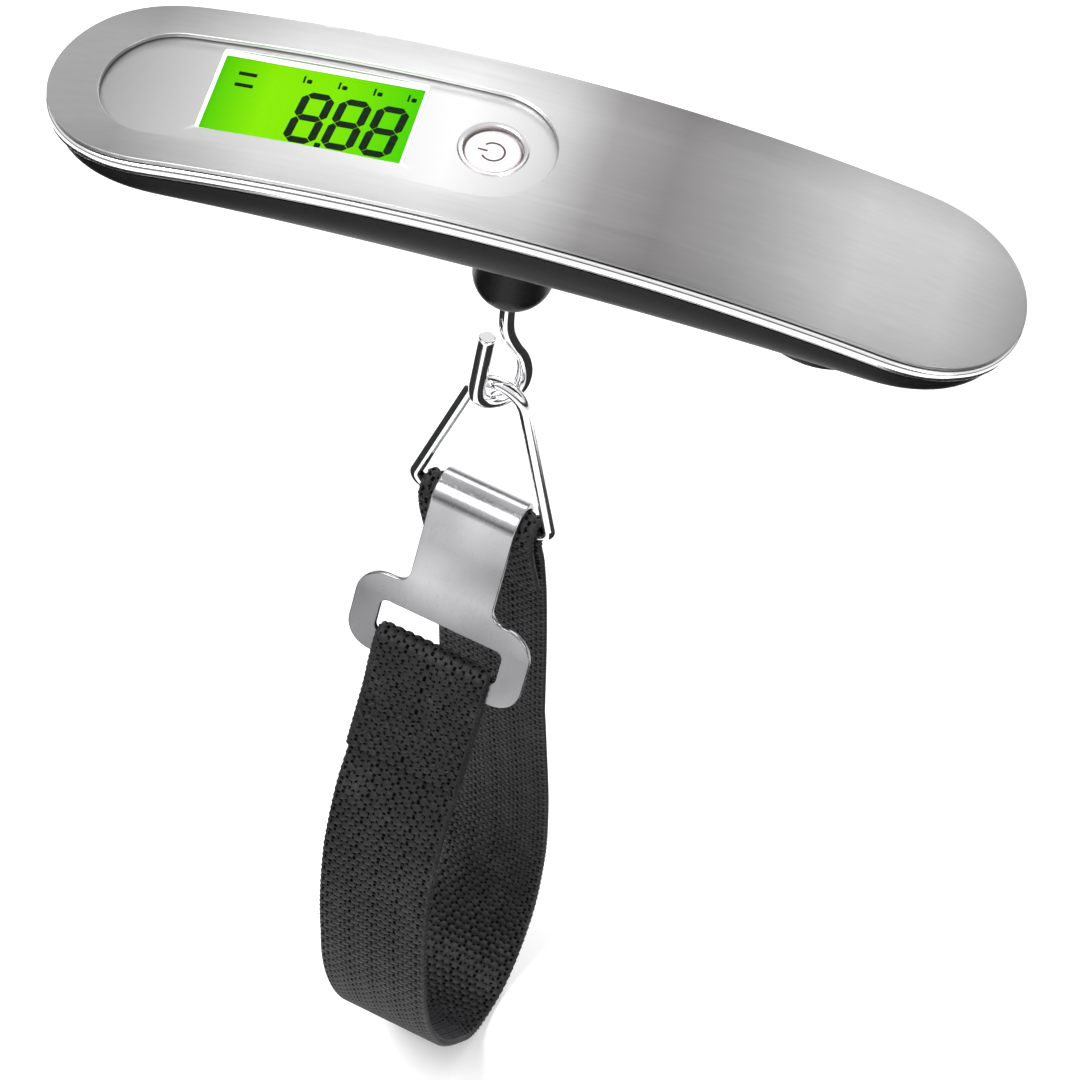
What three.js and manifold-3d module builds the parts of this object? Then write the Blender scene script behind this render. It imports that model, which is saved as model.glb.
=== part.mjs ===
// Digital luggage scale: an arched hand-held body with a recessed display, a swivelling
// load hook, a triangular ring, a T-hook plate and a sewn webbing loop.
// Millimetres, +Z up. The origin is the top of the face plate at its middle, X runs along
// the body, and the hook, ring and strap hang straight down along -Z.
import * as THREE from 'three';
import { mergeVertices } from 'three/addons/utils/BufferGeometryUtils.js';
import Module from 'manifold-3d';

const wasm = await Module();
wasm.setup();

// ---------------------------------------------------------------- driving dimensions
const BODY_CHORD = 160;
const BODY_WIDTH = 35.3;
const FACE_RADIUS = 345;
const END_LENGTH = 22;
const SIDE_TAPER = 0.03;
const GAP = 0.3;

// depths are measured from the face plate's surface along the arch's normal
const FACE_THICK = 0.8;
const RIM_TOP = FACE_THICK + GAP;
const RIM_BOTTOM = 4.1;
const RIM_PROUD = 0.35;
const RIM_WALL = 1.7;
const SHELL_TOP = RIM_BOTTOM + GAP;
const SHELL_DEEP = 14.6;
const SHELL_RISE = 3.7;
const SHELL_RISE_AT = 56;
const SHELL_INSET = 0.4;
const SHELL_WALL = 1.7;

const RECESS_X1 = -60.9;
const RECESS_X2 = -8.6;
const RECESS_Y = -0.3;
const RECESS_HALF = 11.2;
const PANEL_TOP = RIM_TOP;
const PANEL_THICK = 0.9;
const WINDOW_X = -37.6;
const WINDOW_Y = 1.0;
const WINDOW_LONG = 34.1;
const WINDOW_WIDE = 17.6;
const BUTTON_X = -7.6;
const BUTTON_R = 4.6;
const BUTTON_HOLE_R = 4.95;
const BUTTON_TRAVEL = 0.6;

const ROD_X = -1.5;
const ROD_R = 1.5;
const HOOK_HEADING = THREE.MathUtils.degToRad(40);
const HOOK_BEND_R = 4.35;
const HOOK_BEND_W = 0.75;
const HOOK_BOTTOM_Z = -61.65;
const HOOK_TIP_Z = -44;
const COLLAR_R = 6.75;
const COLLAR_BALL_Z = -28.8;

const BAR_HEADING = THREE.MathUtils.degToRad(-12.5);
const RING_WIRE_R = 1.2;
const RING_HALF = 12.75;
const RING_CORNER_R = 2.2;
const RING_APEX_R = 5.4;
const RING_BAR_Z = -91.4;
const STRAP_WIDTH = 22;
const STRAP_THICK = 1.4;

const PLATE_THICK = 1.0;
const PLATE_TILT = THREE.MathUtils.degToRad(16);
const WRAP_GAP = 0.35;
const PLATE_BEND_R = RING_WIRE_R + 2 * WRAP_GAP + STRAP_THICK + PLATE_THICK / 2;
const PLATE_NECK_HALF = 8;
const PLATE_HALF = 16.9;
const PLATE_SLOT_HALF = 11.8;
const PLATE_SLOT_TOP = 24;
const PLATE_SLOT_BOTTOM = 31;
const PLATE_LENGTH = 35.6;

const BATTERY_X = 50;
const BATTERY_R = 10;
const BATTERY_THICK = 3.2;
const COVER_R = 12;
const COVER_OUT = 14.4;

const HALF_ARC = FACE_RADIUS * Math.asin(BODY_CHORD / 2 / FACE_RADIUS);

// ---------------------------------------------------------------- materials and helpers
const paint = {
  steel: { color: 0xb9b9bb, roughness: 0.3, metalness: 1 },
  chrome: { color: 0xe6e6e8, roughness: 0.08, metalness: 1 },
  satin: { color: 0xd4d4d6, roughness: 0.4, metalness: 0.6 },
  black: { color: 0x222224, roughness: 0.5, metalness: 0 },
  rubber: { color: 0x1b1b1c, roughness: 0.7, metalness: 0 },
  lens: { color: 0xcfe8b0, roughness: 0.05, metalness: 0 },
  lit: { color: 0x66dd22, roughness: 0.4, metalness: 0 },
  white: { color: 0xe8e0de, roughness: 0.6, metalness: 0 },
  board: { color: 0x1f6b3a, roughness: 0.5, metalness: 0 },
  alloy: { color: 0xc0c2c4, roughness: 0.4, metalness: 1 },
  brass: { color: 0xc9b26a, roughness: 0.35, metalness: 1 },
  webbing: { color: 0x17171a, roughness: 0.9, metalness: 0 },
};

const scale = new THREE.Group();

function addMesh(name, geometry, finish, parent = scale) {
  const mesh = new THREE.Mesh(geometry, new THREE.MeshStandardMaterial(paint[finish]));
  mesh.name = name;
  parent.add(mesh);
  return mesh;
}

function toSolid(geometry) {
  const bare = geometry.clone();
  bare.deleteAttribute('normal');
  bare.deleteAttribute('uv');
  const merged = mergeVertices(bare, 1e-5);
  const vertProperties = Float32Array.from(merged.attributes.position.array);
  const triVerts = Uint32Array.from(merged.index.array);
  return new wasm.Manifold(new wasm.Mesh({ numProp: 3, vertProperties, triVerts }));
}

function toGeometry(solid) {
  const mesh = solid.getMesh();
  const geometry = new THREE.BufferGeometry();
  geometry.setAttribute('position', new THREE.BufferAttribute(mesh.vertProperties, 3));
  geometry.setIndex(new THREE.BufferAttribute(mesh.triVerts, 1));
  return geometry;
}

function cut(geometry, ...tools) {
  return toGeometry(tools.reduce((solid, tool) => solid.subtract(toSolid(tool)), toSolid(geometry)));
}

function common(geometry, other) {
  return toGeometry(toSolid(geometry).intersect(toSolid(other)));
}

function join(geometry, ...others) {
  return toGeometry(others.reduce((solid, other) => solid.add(toSolid(other)), toSolid(geometry)));
}

// A point of the arched body: distance along the arch, across it, and depth under the face.
function archPoint(along, across, depth) {
  const angle = along / FACE_RADIUS;
  const radius = FACE_RADIUS - depth;
  return new THREE.Vector3(radius * Math.sin(angle), across, radius * Math.cos(angle) - FACE_RADIUS);
}

// The frame that lies flat on the arch at one place: its +Z points out of the face.
function archFrame(along, across, depth) {
  const turn = new THREE.Matrix4().makeRotationY(along / FACE_RADIUS);
  return turn.setPosition(archPoint(along, across, depth));
}

function onArch(geometry, along, across, depth) {
  return geometry.applyMatrix4(archFrame(along, across, depth));
}

// How much of the full size is left this far along one of the rounded ends.
function endShare(along) {
  const past = Math.max(0, Math.abs(along) - (HALF_ARC - END_LENGTH)) / END_LENGTH;
  return Math.sqrt(Math.max(0, 1 - Math.min(1, past) ** 2.5));
}

function halfWidth(along) {
  return (BODY_WIDTH / 2) * (1 - SIDE_TAPER * (along / (BODY_CHORD / 2)) ** 2) * endShare(along);
}

// Stations along the body, closer together near the rounded ends.
function stations(reach, middle = 10, end = 7) {
  const half = [];
  for (let i = 1; i <= middle; i += 1) {
    half.push(((reach - END_LENGTH) * i) / middle);
  }
  for (let i = 1; i <= end; i += 1) {
    half.push(reach - END_LENGTH + END_LENGTH * Math.sin((Math.PI / 2) * (i / end)));
  }
  return [...half.map((s) => -s).reverse(), 0, ...half];
}

// Joins equal rings of points into one closed body, with flat end caps or closed on itself.
function loft(rings, looped = false) {
  const size = rings[0].length;
  const positions = rings.flat().flatMap((p) => [p.x, p.y, p.z]);
  const index = [];
  const last = looped ? rings.length : rings.length - 1;
  for (let i = 0; i < last; i += 1) {
    const here = i * size;
    const next = ((i + 1) % rings.length) * size;
    for (let j = 0; j < size; j += 1) {
      const k = (j + 1) % size;
      index.push(here + j, next + j, next + k, here + j, next + k, here + k);
    }
  }
  if (!looped) {
    const far = (rings.length - 1) * size;
    for (let j = 1; j < size - 1; j += 1) {
      index.push(0, j, j + 1, far, far + j + 1, far + j);
    }
  }
  const geometry = new THREE.BufferGeometry();
  geometry.setAttribute('position', new THREE.Float32BufferAttribute(positions, 3));
  geometry.setIndex(index);
  return toGeometry(outward(geometry));
}

// The solid with its faces pointing out, whichever way its rings ran.
function outward(geometry) {
  const solid = toSolid(geometry);
  if (solid.volume() > 0 && solid.status() === 'NoError') {
    return solid;
  }
  const flipped = geometry.clone();
  const order = Array.from(flipped.index.array);
  for (let i = 0; i < order.length; i += 3) {
    [order[i], order[i + 1]] = [order[i + 1], order[i]];
  }
  flipped.setIndex(order);
  return toSolid(flipped);
}

// A plate that follows the arch between two depths, its half width given along its length.
function archPlate(places, half, across, top, bottom) {
  const rings = places.map((s) => {
    const w = Math.max(half(s), 0.4);
    return [[-w, top], [w, top], [w, bottom], [-w, bottom]].map(([y, d]) => archPoint(s, across + y, d));
  });
  return loft(rings);
}

function cylinder(radius, height, segments = 32) {
  return new THREE.CylinderGeometry(radius, radius, height, segments).rotateX(Math.PI / 2);
}

function box(x, y, z) {
  return new THREE.BoxGeometry(x, y, z);
}

function roundedRect(shape, halfX, halfY, radius) {
  shape.moveTo(-halfX + radius, -halfY);
  shape.lineTo(halfX - radius, -halfY);
  shape.absarc(halfX - radius, -halfY + radius, radius, -Math.PI / 2, 0, false);
  shape.absarc(halfX - radius, halfY - radius, radius, 0, Math.PI / 2, false);
  shape.absarc(-halfX + radius, halfY - radius, radius, Math.PI / 2, Math.PI, false);
  shape.absarc(-halfX + radius, -halfY + radius, radius, Math.PI, 1.5 * Math.PI, false);
  shape.closePath();
  return shape;
}

function slab(shape, thickness, curveSegments = 6) {
  const settings = { depth: thickness, bevelEnabled: false, curveSegments };
  return new THREE.ExtrudeGeometry(shape, settings).translate(0, 0, -thickness / 2);
}

function wire(curve, radius, steps, sides = 12) {
  const section = new THREE.Shape();
  section.absarc(0, 0, radius, 0, 2 * Math.PI, false);
  const settings = { steps, extrudePath: curve, bevelEnabled: false, curveSegments: sides };
  return toGeometry(outward(mergeVertices(stripped(new THREE.ExtrudeGeometry(section, settings)), 1e-5)));
}

function stripped(geometry) {
  geometry.deleteAttribute('normal');
  geometry.deleteAttribute('uv');
  return geometry;
}

// ---------------------------------------------------------------- face, rim and recess
function buildFacePlate() {
  const plate = archPlate(stations(HALF_ARC), halfWidth, 0, 0, FACE_THICK);
  const stadium = new THREE.Shape();
  const middle = (RECESS_X1 + RECESS_X2) / 2;
  const reach = (RECESS_X2 - RECESS_X1) / 2;
  stadium.absarc(reach, 0, RECESS_HALF, -Math.PI / 2, Math.PI / 2, false);
  stadium.absarc(-reach, 0, RECESS_HALF, Math.PI / 2, 1.5 * Math.PI, false);
  const cutter = onArch(slab(stadium, 12, 14), middle, RECESS_Y, 0);
  addMesh('face_plate', cut(plate, cutter), 'steel');
}

// Points round the body's outline, as distances along and across the arch.
function outline(grow) {
  const edge = [];
  const places = stations(HALF_ARC, 10, 9);
  places.forEach((s) => edge.push(new THREE.Vector2(s, halfWidth(s))));
  places.slice(1, -1).reverse().forEach((s) => edge.push(new THREE.Vector2(s, -halfWidth(s))));
  return edge.map((p, i) => {
    const before = edge[(i + edge.length - 1) % edge.length];
    const after = edge[(i + 1) % edge.length];
    const run = after.clone().sub(before).normalize();
    return new THREE.Vector2(p.x - run.y * grow, p.y + run.x * grow);
  });
}

function buildRim() {
  const profile = [
    [RIM_PROUD - 0.5, RIM_TOP],
    [RIM_PROUD, RIM_TOP + 0.6],
    [RIM_PROUD - 0.6, RIM_BOTTOM],
    [RIM_PROUD - RIM_WALL, RIM_BOTTOM],
    [RIM_PROUD - RIM_WALL, RIM_TOP],
  ];
  const edges = profile.map(([grow]) => outline(grow));
  const rings = edges[0].map((_, i) => profile.map(([, d], j) => archPoint(edges[j][i].x, edges[j][i].y, d)));
  addMesh('chrome_rim', loft(rings, true), 'chrome');
}

function buildPanel() {
  const margin = 1;
  const reach = RECESS_HALF + margin;
  const half = (s) => {
    const past = Math.max(RECESS_X1 - s, s - RECESS_X2, 0) / reach;
    return reach * Math.sqrt(Math.max(0, 1 - Math.min(1, past) ** 2));
  };
  const places = [];
  for (let i = 0; i <= 6; i += 1) {
    places.push(RECESS_X1 - reach * Math.cos((Math.PI / 2) * (i / 6)));
  }
  for (let i = 1; i < 8; i += 1) {
    places.push(RECESS_X1 + ((RECESS_X2 - RECESS_X1) * i) / 8);
  }
  for (let i = 0; i <= 6; i += 1) {
    places.push(RECESS_X2 + reach * Math.sin((Math.PI / 2) * (i / 6)));
  }
  const plate = archPlate(places, half, RECESS_Y, PANEL_TOP, PANEL_TOP + PANEL_THICK);
  const window = onArch(box(WINDOW_LONG, WINDOW_WIDE, 8), WINDOW_X, WINDOW_Y, 0);
  const hole = onArch(cylinder(BUTTON_HOLE_R, 8, 40), BUTTON_X, RECESS_Y, 0);
  addMesh('inset_panel', cut(plate, window, hole), 'satin');
}

// ---------------------------------------------------------------- display and electronics
const LENS_DEPTH = 2.8;
const LCD_DEPTH = 4.1;
const LIGHT_DEPTH = 6.2;
const BOARD_DEPTH = 9.4;
const BOARD_THICK = 1.2;
const BOARD_X1 = -23.3;
const BOARD_X2 = 31.7;
// the board's plane leans away from the button's axis by this much at the switch
const SWITCH_SHIFT = -0.8;

function layer(name, x, y, thickness, depth, finish, shiftX = 0, shiftY = 0) {
  const part = box(x, y, thickness).translate(shiftX, shiftY, -thickness / 2);
  addMesh(name, onArch(part, WINDOW_X, WINDOW_Y, depth), finish);
}

function buildDisplay() {
  layer('display_lens', WINDOW_LONG + 3, WINDOW_WIDE + 2.4, 1.0, LENS_DEPTH, 'lens');
  layer('lcd_glass', WINDOW_LONG + 2.4, WINDOW_WIDE + 2.4, 1.8, LCD_DEPTH, 'lit');
  layer('backlight', WINDOW_LONG, 15, 2.8, LIGHT_DEPTH, 'white');
  [1, -1].forEach((side, i) => {
    layer(`zebra_strip_${i + 1}`, WINDOW_LONG, 1.6, 2.8, LIGHT_DEPTH, 'rubber', 0, side * 8.8);
  });
}

function buildElectronics() {
  const board = box(BOARD_X2 - BOARD_X1, 22, BOARD_THICK);
  board.translate((BOARD_X1 + BOARD_X2) / 2, -WINDOW_Y, -BOARD_THICK / 2);
  addMesh('circuit_board', onArch(board, WINDOW_X, WINDOW_Y, BOARD_DEPTH), 'board');
  const blob = new THREE.SphereGeometry(4.4, 16, 8).scale(1, 1, 0.4);
  const under = cut(blob, box(20, 20, 10).translate(0, 0, 5));
  const low = under.translate(-6, -WINDOW_Y, -BOARD_THICK - GAP);
  addMesh('controller_chip', onArch(low, WINDOW_X, WINDOW_Y, BOARD_DEPTH), 'rubber');
  const switchCase = box(4.5, 4.5, 1.6).translate(0, 0, 0.8);
  const switchKey = cylinder(1.1, 1, 16).translate(0, 0, 1.9);
  const key = join(switchCase, switchKey);
  key.translate(BUTTON_X - WINDOW_X + SWITCH_SHIFT, RECESS_Y - WINDOW_Y, GAP);
  addMesh('tact_switch', onArch(key, WINDOW_X, WINDOW_Y, BOARD_DEPTH), 'alloy');
}

function buildButton() {
  const profile = [
    [0, 0], [2.6, 0.05], [BUTTON_R - 0.5, -0.1], [BUTTON_R, -0.6], [BUTTON_R, -1.1],
    [BUTTON_R + 1.2, -1.1], [BUTTON_R + 1.2, -1.7], [1.4, -1.7], [1.4, -2.85], [0, -2.85],
  ].map(([r, z]) => new THREE.Vector2(r, z));
  const cap = new THREE.LatheGeometry(profile, 24).rotateX(Math.PI / 2);
  const solid = toGeometry(outward(stripped(cap)));
  addMesh('power_button', onArch(solid, BUTTON_X, RECESS_Y, PANEL_TOP + BUTTON_TRAVEL), 'white');
}

// ---------------------------------------------------------------- lower shell and chassis
const CHASSIS_THICK = 1.2;
const SCREWS = [
  [-67, 6],
  [-67, -6],
  [70, 6],
  [70, -6],
];

function shellDepth(along) {
  return (SHELL_DEEP - SHELL_RISE * (along / SHELL_RISE_AT) ** 2) * endShare(along) ** 0.8;
}

// One cross-section of the tray: flat on top, a full round belly below.
function bellySection(along, half, deep, top, points = 10) {
  const ring = [];
  for (let i = 0; i <= points; i += 1) {
    const t = Math.PI * (i / points);
    const y = -half * Math.sign(Math.cos(t)) * Math.abs(Math.cos(t)) ** 0.85;
    const d = SHELL_TOP + deep * Math.sin(t) ** 0.85;
    ring.push(archPoint(along, y, i === 0 || i === points ? top : d));
  }
  return ring;
}

// Half the body's width where its outline is drawn in by the same amount all round.
function insetHalf(along, inset) {
  const there = (along * HALF_ARC) / (HALF_ARC - inset);
  return Math.max(halfWidth(there) - inset * endShare(there), 0.5);
}

function tray(inset, floor, top) {
  const reach = HALF_ARC - inset;
  return loft(stations(reach, 7, 5).map((s) => {
    const deep = Math.max(shellDepth((s * HALF_ARC) / reach) - floor, 0.3);
    return bellySection(s, insetHalf(s, inset), deep, top);
  }));
}

function buildShell() {
  const outer = tray(SHELL_INSET, 0, SHELL_TOP);
  const inner = tray(SHELL_INSET + SHELL_WALL, SHELL_WALL, SHELL_TOP - 1);
  const ledge = COVER_OUT - 8.6;
  const lip = onArch(cylinder(COVER_R + 2.2, ledge, 36), BATTERY_X, 0, COVER_OUT - ledge / 2);
  const bay = onArch(cylinder(COVER_R + GAP, 14, 36), BATTERY_X, 0, COVER_OUT);
  const rodHole = cylinder(ROD_R + 1, 12, 28).translate(ROD_X, 0, -18);
  const posts = SCREWS.map(([s, y]) => {
    const top = SHELL_TOP + CHASSIS_THICK + GAP;
    const length = SHELL_TOP + shellDepth(s) - 1 - top;
    return onArch(cylinder(2.5, length, 12), s, y, top + length / 2);
  });
  const pilots = SCREWS.map(([s, y]) => onArch(cylinder(1.2, 30, 10), s, y, 12));
  const sinks = SCREWS.map(([s, y]) => onArch(cylinder(2.2, 10, 14), s, y, SHELL_TOP + shellDepth(s) + 2.6));
  const hollow = cut(outer, inner);
  const solid = join(hollow, lip, ...posts);
  addMesh('lower_shell', cut(solid, bay, rodHole, ...pilots, ...sinks), 'black');
}

function buildChassis() {
  const half = (s) => insetHalf(s, SHELL_INSET + SHELL_WALL + 3 * GAP);
  const places = stations(HALF_ARC - 8, 8, 4);
  const plate = archPlate(places, half, 0, SHELL_TOP, SHELL_TOP + CHASSIS_THICK);
  const bay = onArch(box(WINDOW_LONG + 3.4, WINDOW_WIDE + 3.4, 12), WINDOW_X, WINDOW_Y, SHELL_TOP);
  const stem = onArch(cylinder(2.4, 12, 24), BUTTON_X, RECESS_Y, SHELL_TOP);
  const pilots = SCREWS.map(([s, y]) => onArch(cylinder(1.2, 20, 10), s, y, SHELL_TOP));
  addMesh('chassis', cut(plate, bay, stem, ...pilots), 'black');
}

function buildCaseScrews() {
  SCREWS.forEach(([s, y], i) => {
    const length = shellDepth(s) - 2.2;
    const shank = cylinder(0.9, length, 10).translate(0, 0, length / 2 - 0.6);
    const head = cylinder(1.9, 1.2, 16).translate(0, 0, -0.6);
    const drive = box(0.5, 2.2, 0.8).translate(0, 0, -1.2);
    const cross = box(2.2, 0.5, 0.8).translate(0, 0, -1.2);
    const screw = cut(join(shank, head), drive, cross);
    addMesh(`case_screw_${i + 1}`, onArch(screw, s, y, SHELL_TOP + shellDepth(s) - 2.4 + GAP), 'alloy');
  });
}

// ---------------------------------------------------------------- load cell
const BEAM_TOP_Z = -10.6;
const BEAM_HIGH = 5.0;
const BEAM_X1 = -7.5;
const BEAM_X2 = 33;
const BEAM_WIDE = 11;
const BRACKET_X1 = 20;

function buildLoadCell() {
  const length = BEAM_X2 - BEAM_X1;
  const middle = (BEAM_X1 + BEAM_X2) / 2;
  const bar = box(length, BEAM_WIDE, BEAM_HIGH).translate(middle, 0, BEAM_TOP_Z - BEAM_HIGH / 2);
  const rodHole = cylinder(ROD_R + GAP, 20, 24).translate(ROD_X, 0, BEAM_TOP_Z);
  const flexure = [9, 15].map((x) => cylinder(1.9, 20, 16).rotateX(Math.PI / 2)
    .translate(x, 0, BEAM_TOP_Z - BEAM_HIGH / 2));
  const window = box(6, 20, 1.6).translate(12, 0, BEAM_TOP_Z - BEAM_HIGH / 2);
  const screwHoles = [24, 30].map((x) => cylinder(1.4, 20, 14).translate(x, 0, BEAM_TOP_Z));
  addMesh('load_cell', cut(bar, rodHole, ...flexure, window, ...screwHoles), 'alloy');
  const gauge = box(6, 4, 0.4);
  addMesh('strain_gauge_1', gauge.clone().translate(12, 0, BEAM_TOP_Z + GAP + 0.2), 'brass');
  addMesh('strain_gauge_2', gauge.clone().translate(12, 0, BEAM_TOP_Z - BEAM_HIGH - GAP - 0.2), 'brass');
}

function buildBracket() {
  const width = BEAM_X2 - BRACKET_X1;
  const plate = box(width, 24, 1.2).translate(BRACKET_X1 + width / 2, 0, BEAM_TOP_Z + GAP + 0.6);
  const holes = [24, 30].map((x) => cylinder(1.4, 20, 14).translate(x, 0, BEAM_TOP_Z));
  addMesh('cell_bracket', cut(plate, ...holes), 'steel');
  [24, 30].forEach((x, i) => {
    const shank = cylinder(1.1, 6.6, 12).translate(x, 0, BEAM_TOP_Z + 2.3 - 3.3);
    const head = cylinder(2.3, 1.3, 16).translate(x, 0, BEAM_TOP_Z + GAP + 1.2 + GAP + 0.65);
    addMesh(`cell_screw_${i + 1}`, join(shank, head), 'steel');
  });
}

// ---------------------------------------------------------------- battery
const CELL_DEPTH = 8.6;

function buildBattery() {
  const cell = cylinder(BATTERY_R, BATTERY_THICK, 36).translate(0, 0, -BATTERY_THICK / 2);
  addMesh('coin_cell', onArch(cell, BATTERY_X, 0, CELL_DEPTH), 'chrome');
  const spring = box(12, 3, 0.4).translate(0, 0, 0.5);
  addMesh('contact_negative', onArch(spring, BATTERY_X, 0, CELL_DEPTH), 'brass');
  const clip = box(0.5, 6, 2.4).translate(BATTERY_R + GAP + 0.4, 0, -1.4);
  addMesh('contact_positive', onArch(clip, BATTERY_X, 0, CELL_DEPTH), 'brass');
  const disc = cylinder(COVER_R, 1.8, 36).translate(0, 0, 0.9);
  const slot = box(12, 1.8, 1.8).translate(0, 0, 0);
  addMesh('battery_cover', onArch(cut(disc, slot), BATTERY_X, 0, COVER_OUT), 'black');
  const profile = [[10.7, 0], [11.7, 0], [11.7, 0.5], [10.7, 0.5], [10.7, 0]];
  const seal = new THREE.LatheGeometry(profile.map(([r, z]) => new THREE.Vector2(r, z)), 32);
  const solid = toGeometry(outward(stripped(seal.rotateX(Math.PI / 2))));
  addMesh('cover_seal', onArch(solid, BATTERY_X, 0, COVER_OUT - 1.8 - GAP), 'rubber');
}

// ---------------------------------------------------------------- hook
const SHELL_BOTTOM_Z = -(SHELL_TOP + SHELL_DEEP);

function buildCollar() {
  const ball = [];
  for (let i = 0; i <= 7; i += 1) {
    const t = (Math.PI / 2) * (i / 7) * 0.7;
    ball.push([COLLAR_R * Math.cos(t), COLLAR_BALL_Z - COLLAR_R * 0.95 * Math.sin(t)]);
  }
  const bore = ROD_R + 0.4;
  const end = ball[ball.length - 1][1];
  const top = SHELL_BOTTOM_Z - GAP;
  const foot = [[bore + 0.4, end - 0.7], [bore, end - 0.7]];
  const profile = [[bore, top], [COLLAR_R - 0.4, top], ...ball, ...foot, [bore, top]];
  const turned = new THREE.LatheGeometry(profile.map(([r, z]) => new THREE.Vector2(r, z)), 28);
  const solid = toGeometry(outward(stripped(turned.rotateX(Math.PI / 2))));
  addMesh('hook_collar', solid.translate(ROD_X, 0, 0), 'rubber');
}

// A point of the hook's own upright plane, from the rod's axis.
function hookPoint(sideways, z) {
  return new THREE.Vector3(
    ROD_X + sideways * Math.cos(HOOK_HEADING),
    sideways * Math.sin(HOOK_HEADING),
    z,
  );
}

const HOOK_BEND_Z = HOOK_BOTTOM_Z + HOOK_BEND_R;

function buildHook() {
  const route = [[0, BEAM_TOP_Z + 3.6], [0, -22], [0, -32], [0, -38], [0.5, -43]];
  route.push([2.1, -47.2], [3.9, -50.6], [HOOK_BEND_W + HOOK_BEND_R - 0.1, -54.4]);
  for (let i = 0; i <= 6; i += 1) {
    const t = -Math.PI * (i / 6);
    route.push([HOOK_BEND_W + HOOK_BEND_R * Math.cos(t), HOOK_BEND_Z + HOOK_BEND_R * Math.sin(t)]);
  }
  route.push([HOOK_BEND_W - HOOK_BEND_R + 0.1, -52], [HOOK_BEND_W - HOOK_BEND_R + 0.5, HOOK_TIP_Z]);
  const curve = new THREE.CatmullRomCurve3(route.map(([w, z]) => hookPoint(w, z)), false, 'centripetal');
  addMesh('load_hook', wire(curve, ROD_R, 52, 6), 'chrome');
}

function buildHookNut() {
  const bore = cylinder(ROD_R + GAP, 10, 16).translate(ROD_X, 0, BEAM_TOP_Z);
  const washer = cylinder(3.4, 0.5, 20).translate(ROD_X, 0, BEAM_TOP_Z + GAP + 0.25);
  const nut = cylinder(2.9, 2.2, 6).translate(ROD_X, 0, BEAM_TOP_Z + GAP + 0.5 + GAP + 1.1);
  addMesh('hook_washer', cut(washer, bore), 'steel');
  addMesh('hook_nut', cut(nut, bore), 'steel');
}

// ---------------------------------------------------------------- ring, plate and strap
const RING_APEX = hookPoint(HOOK_BEND_W, HOOK_BOTTOM_Z + ROD_R + RING_WIRE_R + 3 * GAP);
const BAR_ALONG = new THREE.Vector3(Math.cos(BAR_HEADING), Math.sin(BAR_HEADING), 0);
const BAR_FRONT = new THREE.Vector3(Math.sin(BAR_HEADING), -Math.cos(BAR_HEADING), 0);
const BAR_CENTRE = new THREE.Vector3(RING_APEX.x, RING_APEX.y, RING_BAR_Z);

// Local X points to the front of the bar, local Y up, and local Z along the bar.
function barFrame() {
  const up = new THREE.Vector3(0, 0, 1);
  const along = BAR_ALONG.clone().negate();
  return new THREE.Matrix4().makeBasis(BAR_FRONT, up, along).setPosition(BAR_CENTRE);
}

function onBar(geometry) {
  return geometry.applyMatrix4(barFrame());
}

// The line of a belt pulled round three circles, in order and turning left.
function beltAround(circles, count) {
  const leaving = circles.map((c, i) => {
    const next = circles[(i + 1) % circles.length];
    const run = new THREE.Vector2(next.u - c.u, next.v - c.v);
    return run.angle() - Math.acos((c.r - next.r) / run.length());
  });
  return circles.flatMap((c, i) => {
    const from = leaving[(i + circles.length - 1) % circles.length];
    const turn = (leaving[i] - from + 4 * Math.PI) % (2 * Math.PI);
    return arcPoints(c.u, c.v, c.r, from, from + turn, count);
  });
}

function buildRing() {
  const cornerU = RING_HALF - RING_CORNER_R;
  const points = beltAround([
    { u: cornerU, v: RING_CORNER_R, r: RING_CORNER_R },
    { u: 0, v: RING_APEX.z - RING_BAR_Z - RING_APEX_R, r: RING_APEX_R },
    { u: -cornerU, v: RING_CORNER_R, r: RING_CORNER_R },
  ], 7).map(([u, v]) => BAR_CENTRE.clone().addScaledVector(BAR_ALONG, u).add(new THREE.Vector3(0, 0, v)));
  const rings = points.map((centre, i) => {
    const before = points[(i + points.length - 1) % points.length];
    const run = points[(i + 1) % points.length].clone().sub(before).normalize();
    const side = run.cross(BAR_FRONT).normalize();
    return arcPoints(0, 0, RING_WIRE_R, 0, 2 * Math.PI * 0.9, 9).map(([x, y]) => centre.clone()
      .addScaledVector(side, x).addScaledVector(BAR_FRONT, y));
  });
  addMesh('triangle_ring', loft(rings, true), 'chrome');
}

// A ribbon of even thickness along a centre line in the bar's upright plane.
function ribbon(centreline, thickness, width) {
  const left = [];
  const right = [];
  centreline.forEach((p, i) => {
    const before = centreline[Math.max(0, i - 1)];
    const after = centreline[Math.min(centreline.length - 1, i + 1)];
    const run = new THREE.Vector2(after[0] - before[0], after[1] - before[1]).normalize();
    left.push(new THREE.Vector2(p[0] - (run.y * thickness) / 2, p[1] + (run.x * thickness) / 2));
    right.push(new THREE.Vector2(p[0] + (run.y * thickness) / 2, p[1] - (run.x * thickness) / 2));
  });
  const shape = new THREE.Shape([...left, ...right.reverse()]);
  const settings = { depth: width, bevelEnabled: false };
  const body = new THREE.ExtrudeGeometry(shape, settings).translate(0, 0, -width / 2);
  return toGeometry(outward(stripped(body)));
}

function arcPoints(cx, cy, radius, from, to, count) {
  return Array.from({ length: count + 1 }, (_, i) => {
    const t = from + ((to - from) * i) / count;
    return [cx + radius * Math.cos(t), cy + radius * Math.sin(t)];
  });
}

// A smooth line through the points, with this many steps between each two.
function smooth(points, count) {
  const flat = points.map(([x, y]) => new THREE.Vector3(x, y, 0));
  const curve = new THREE.CatmullRomCurve3(flat, false, 'centripetal');
  return curve.getPoints(count * (points.length - 1)).map((p) => [p.x, p.y]);
}

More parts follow.
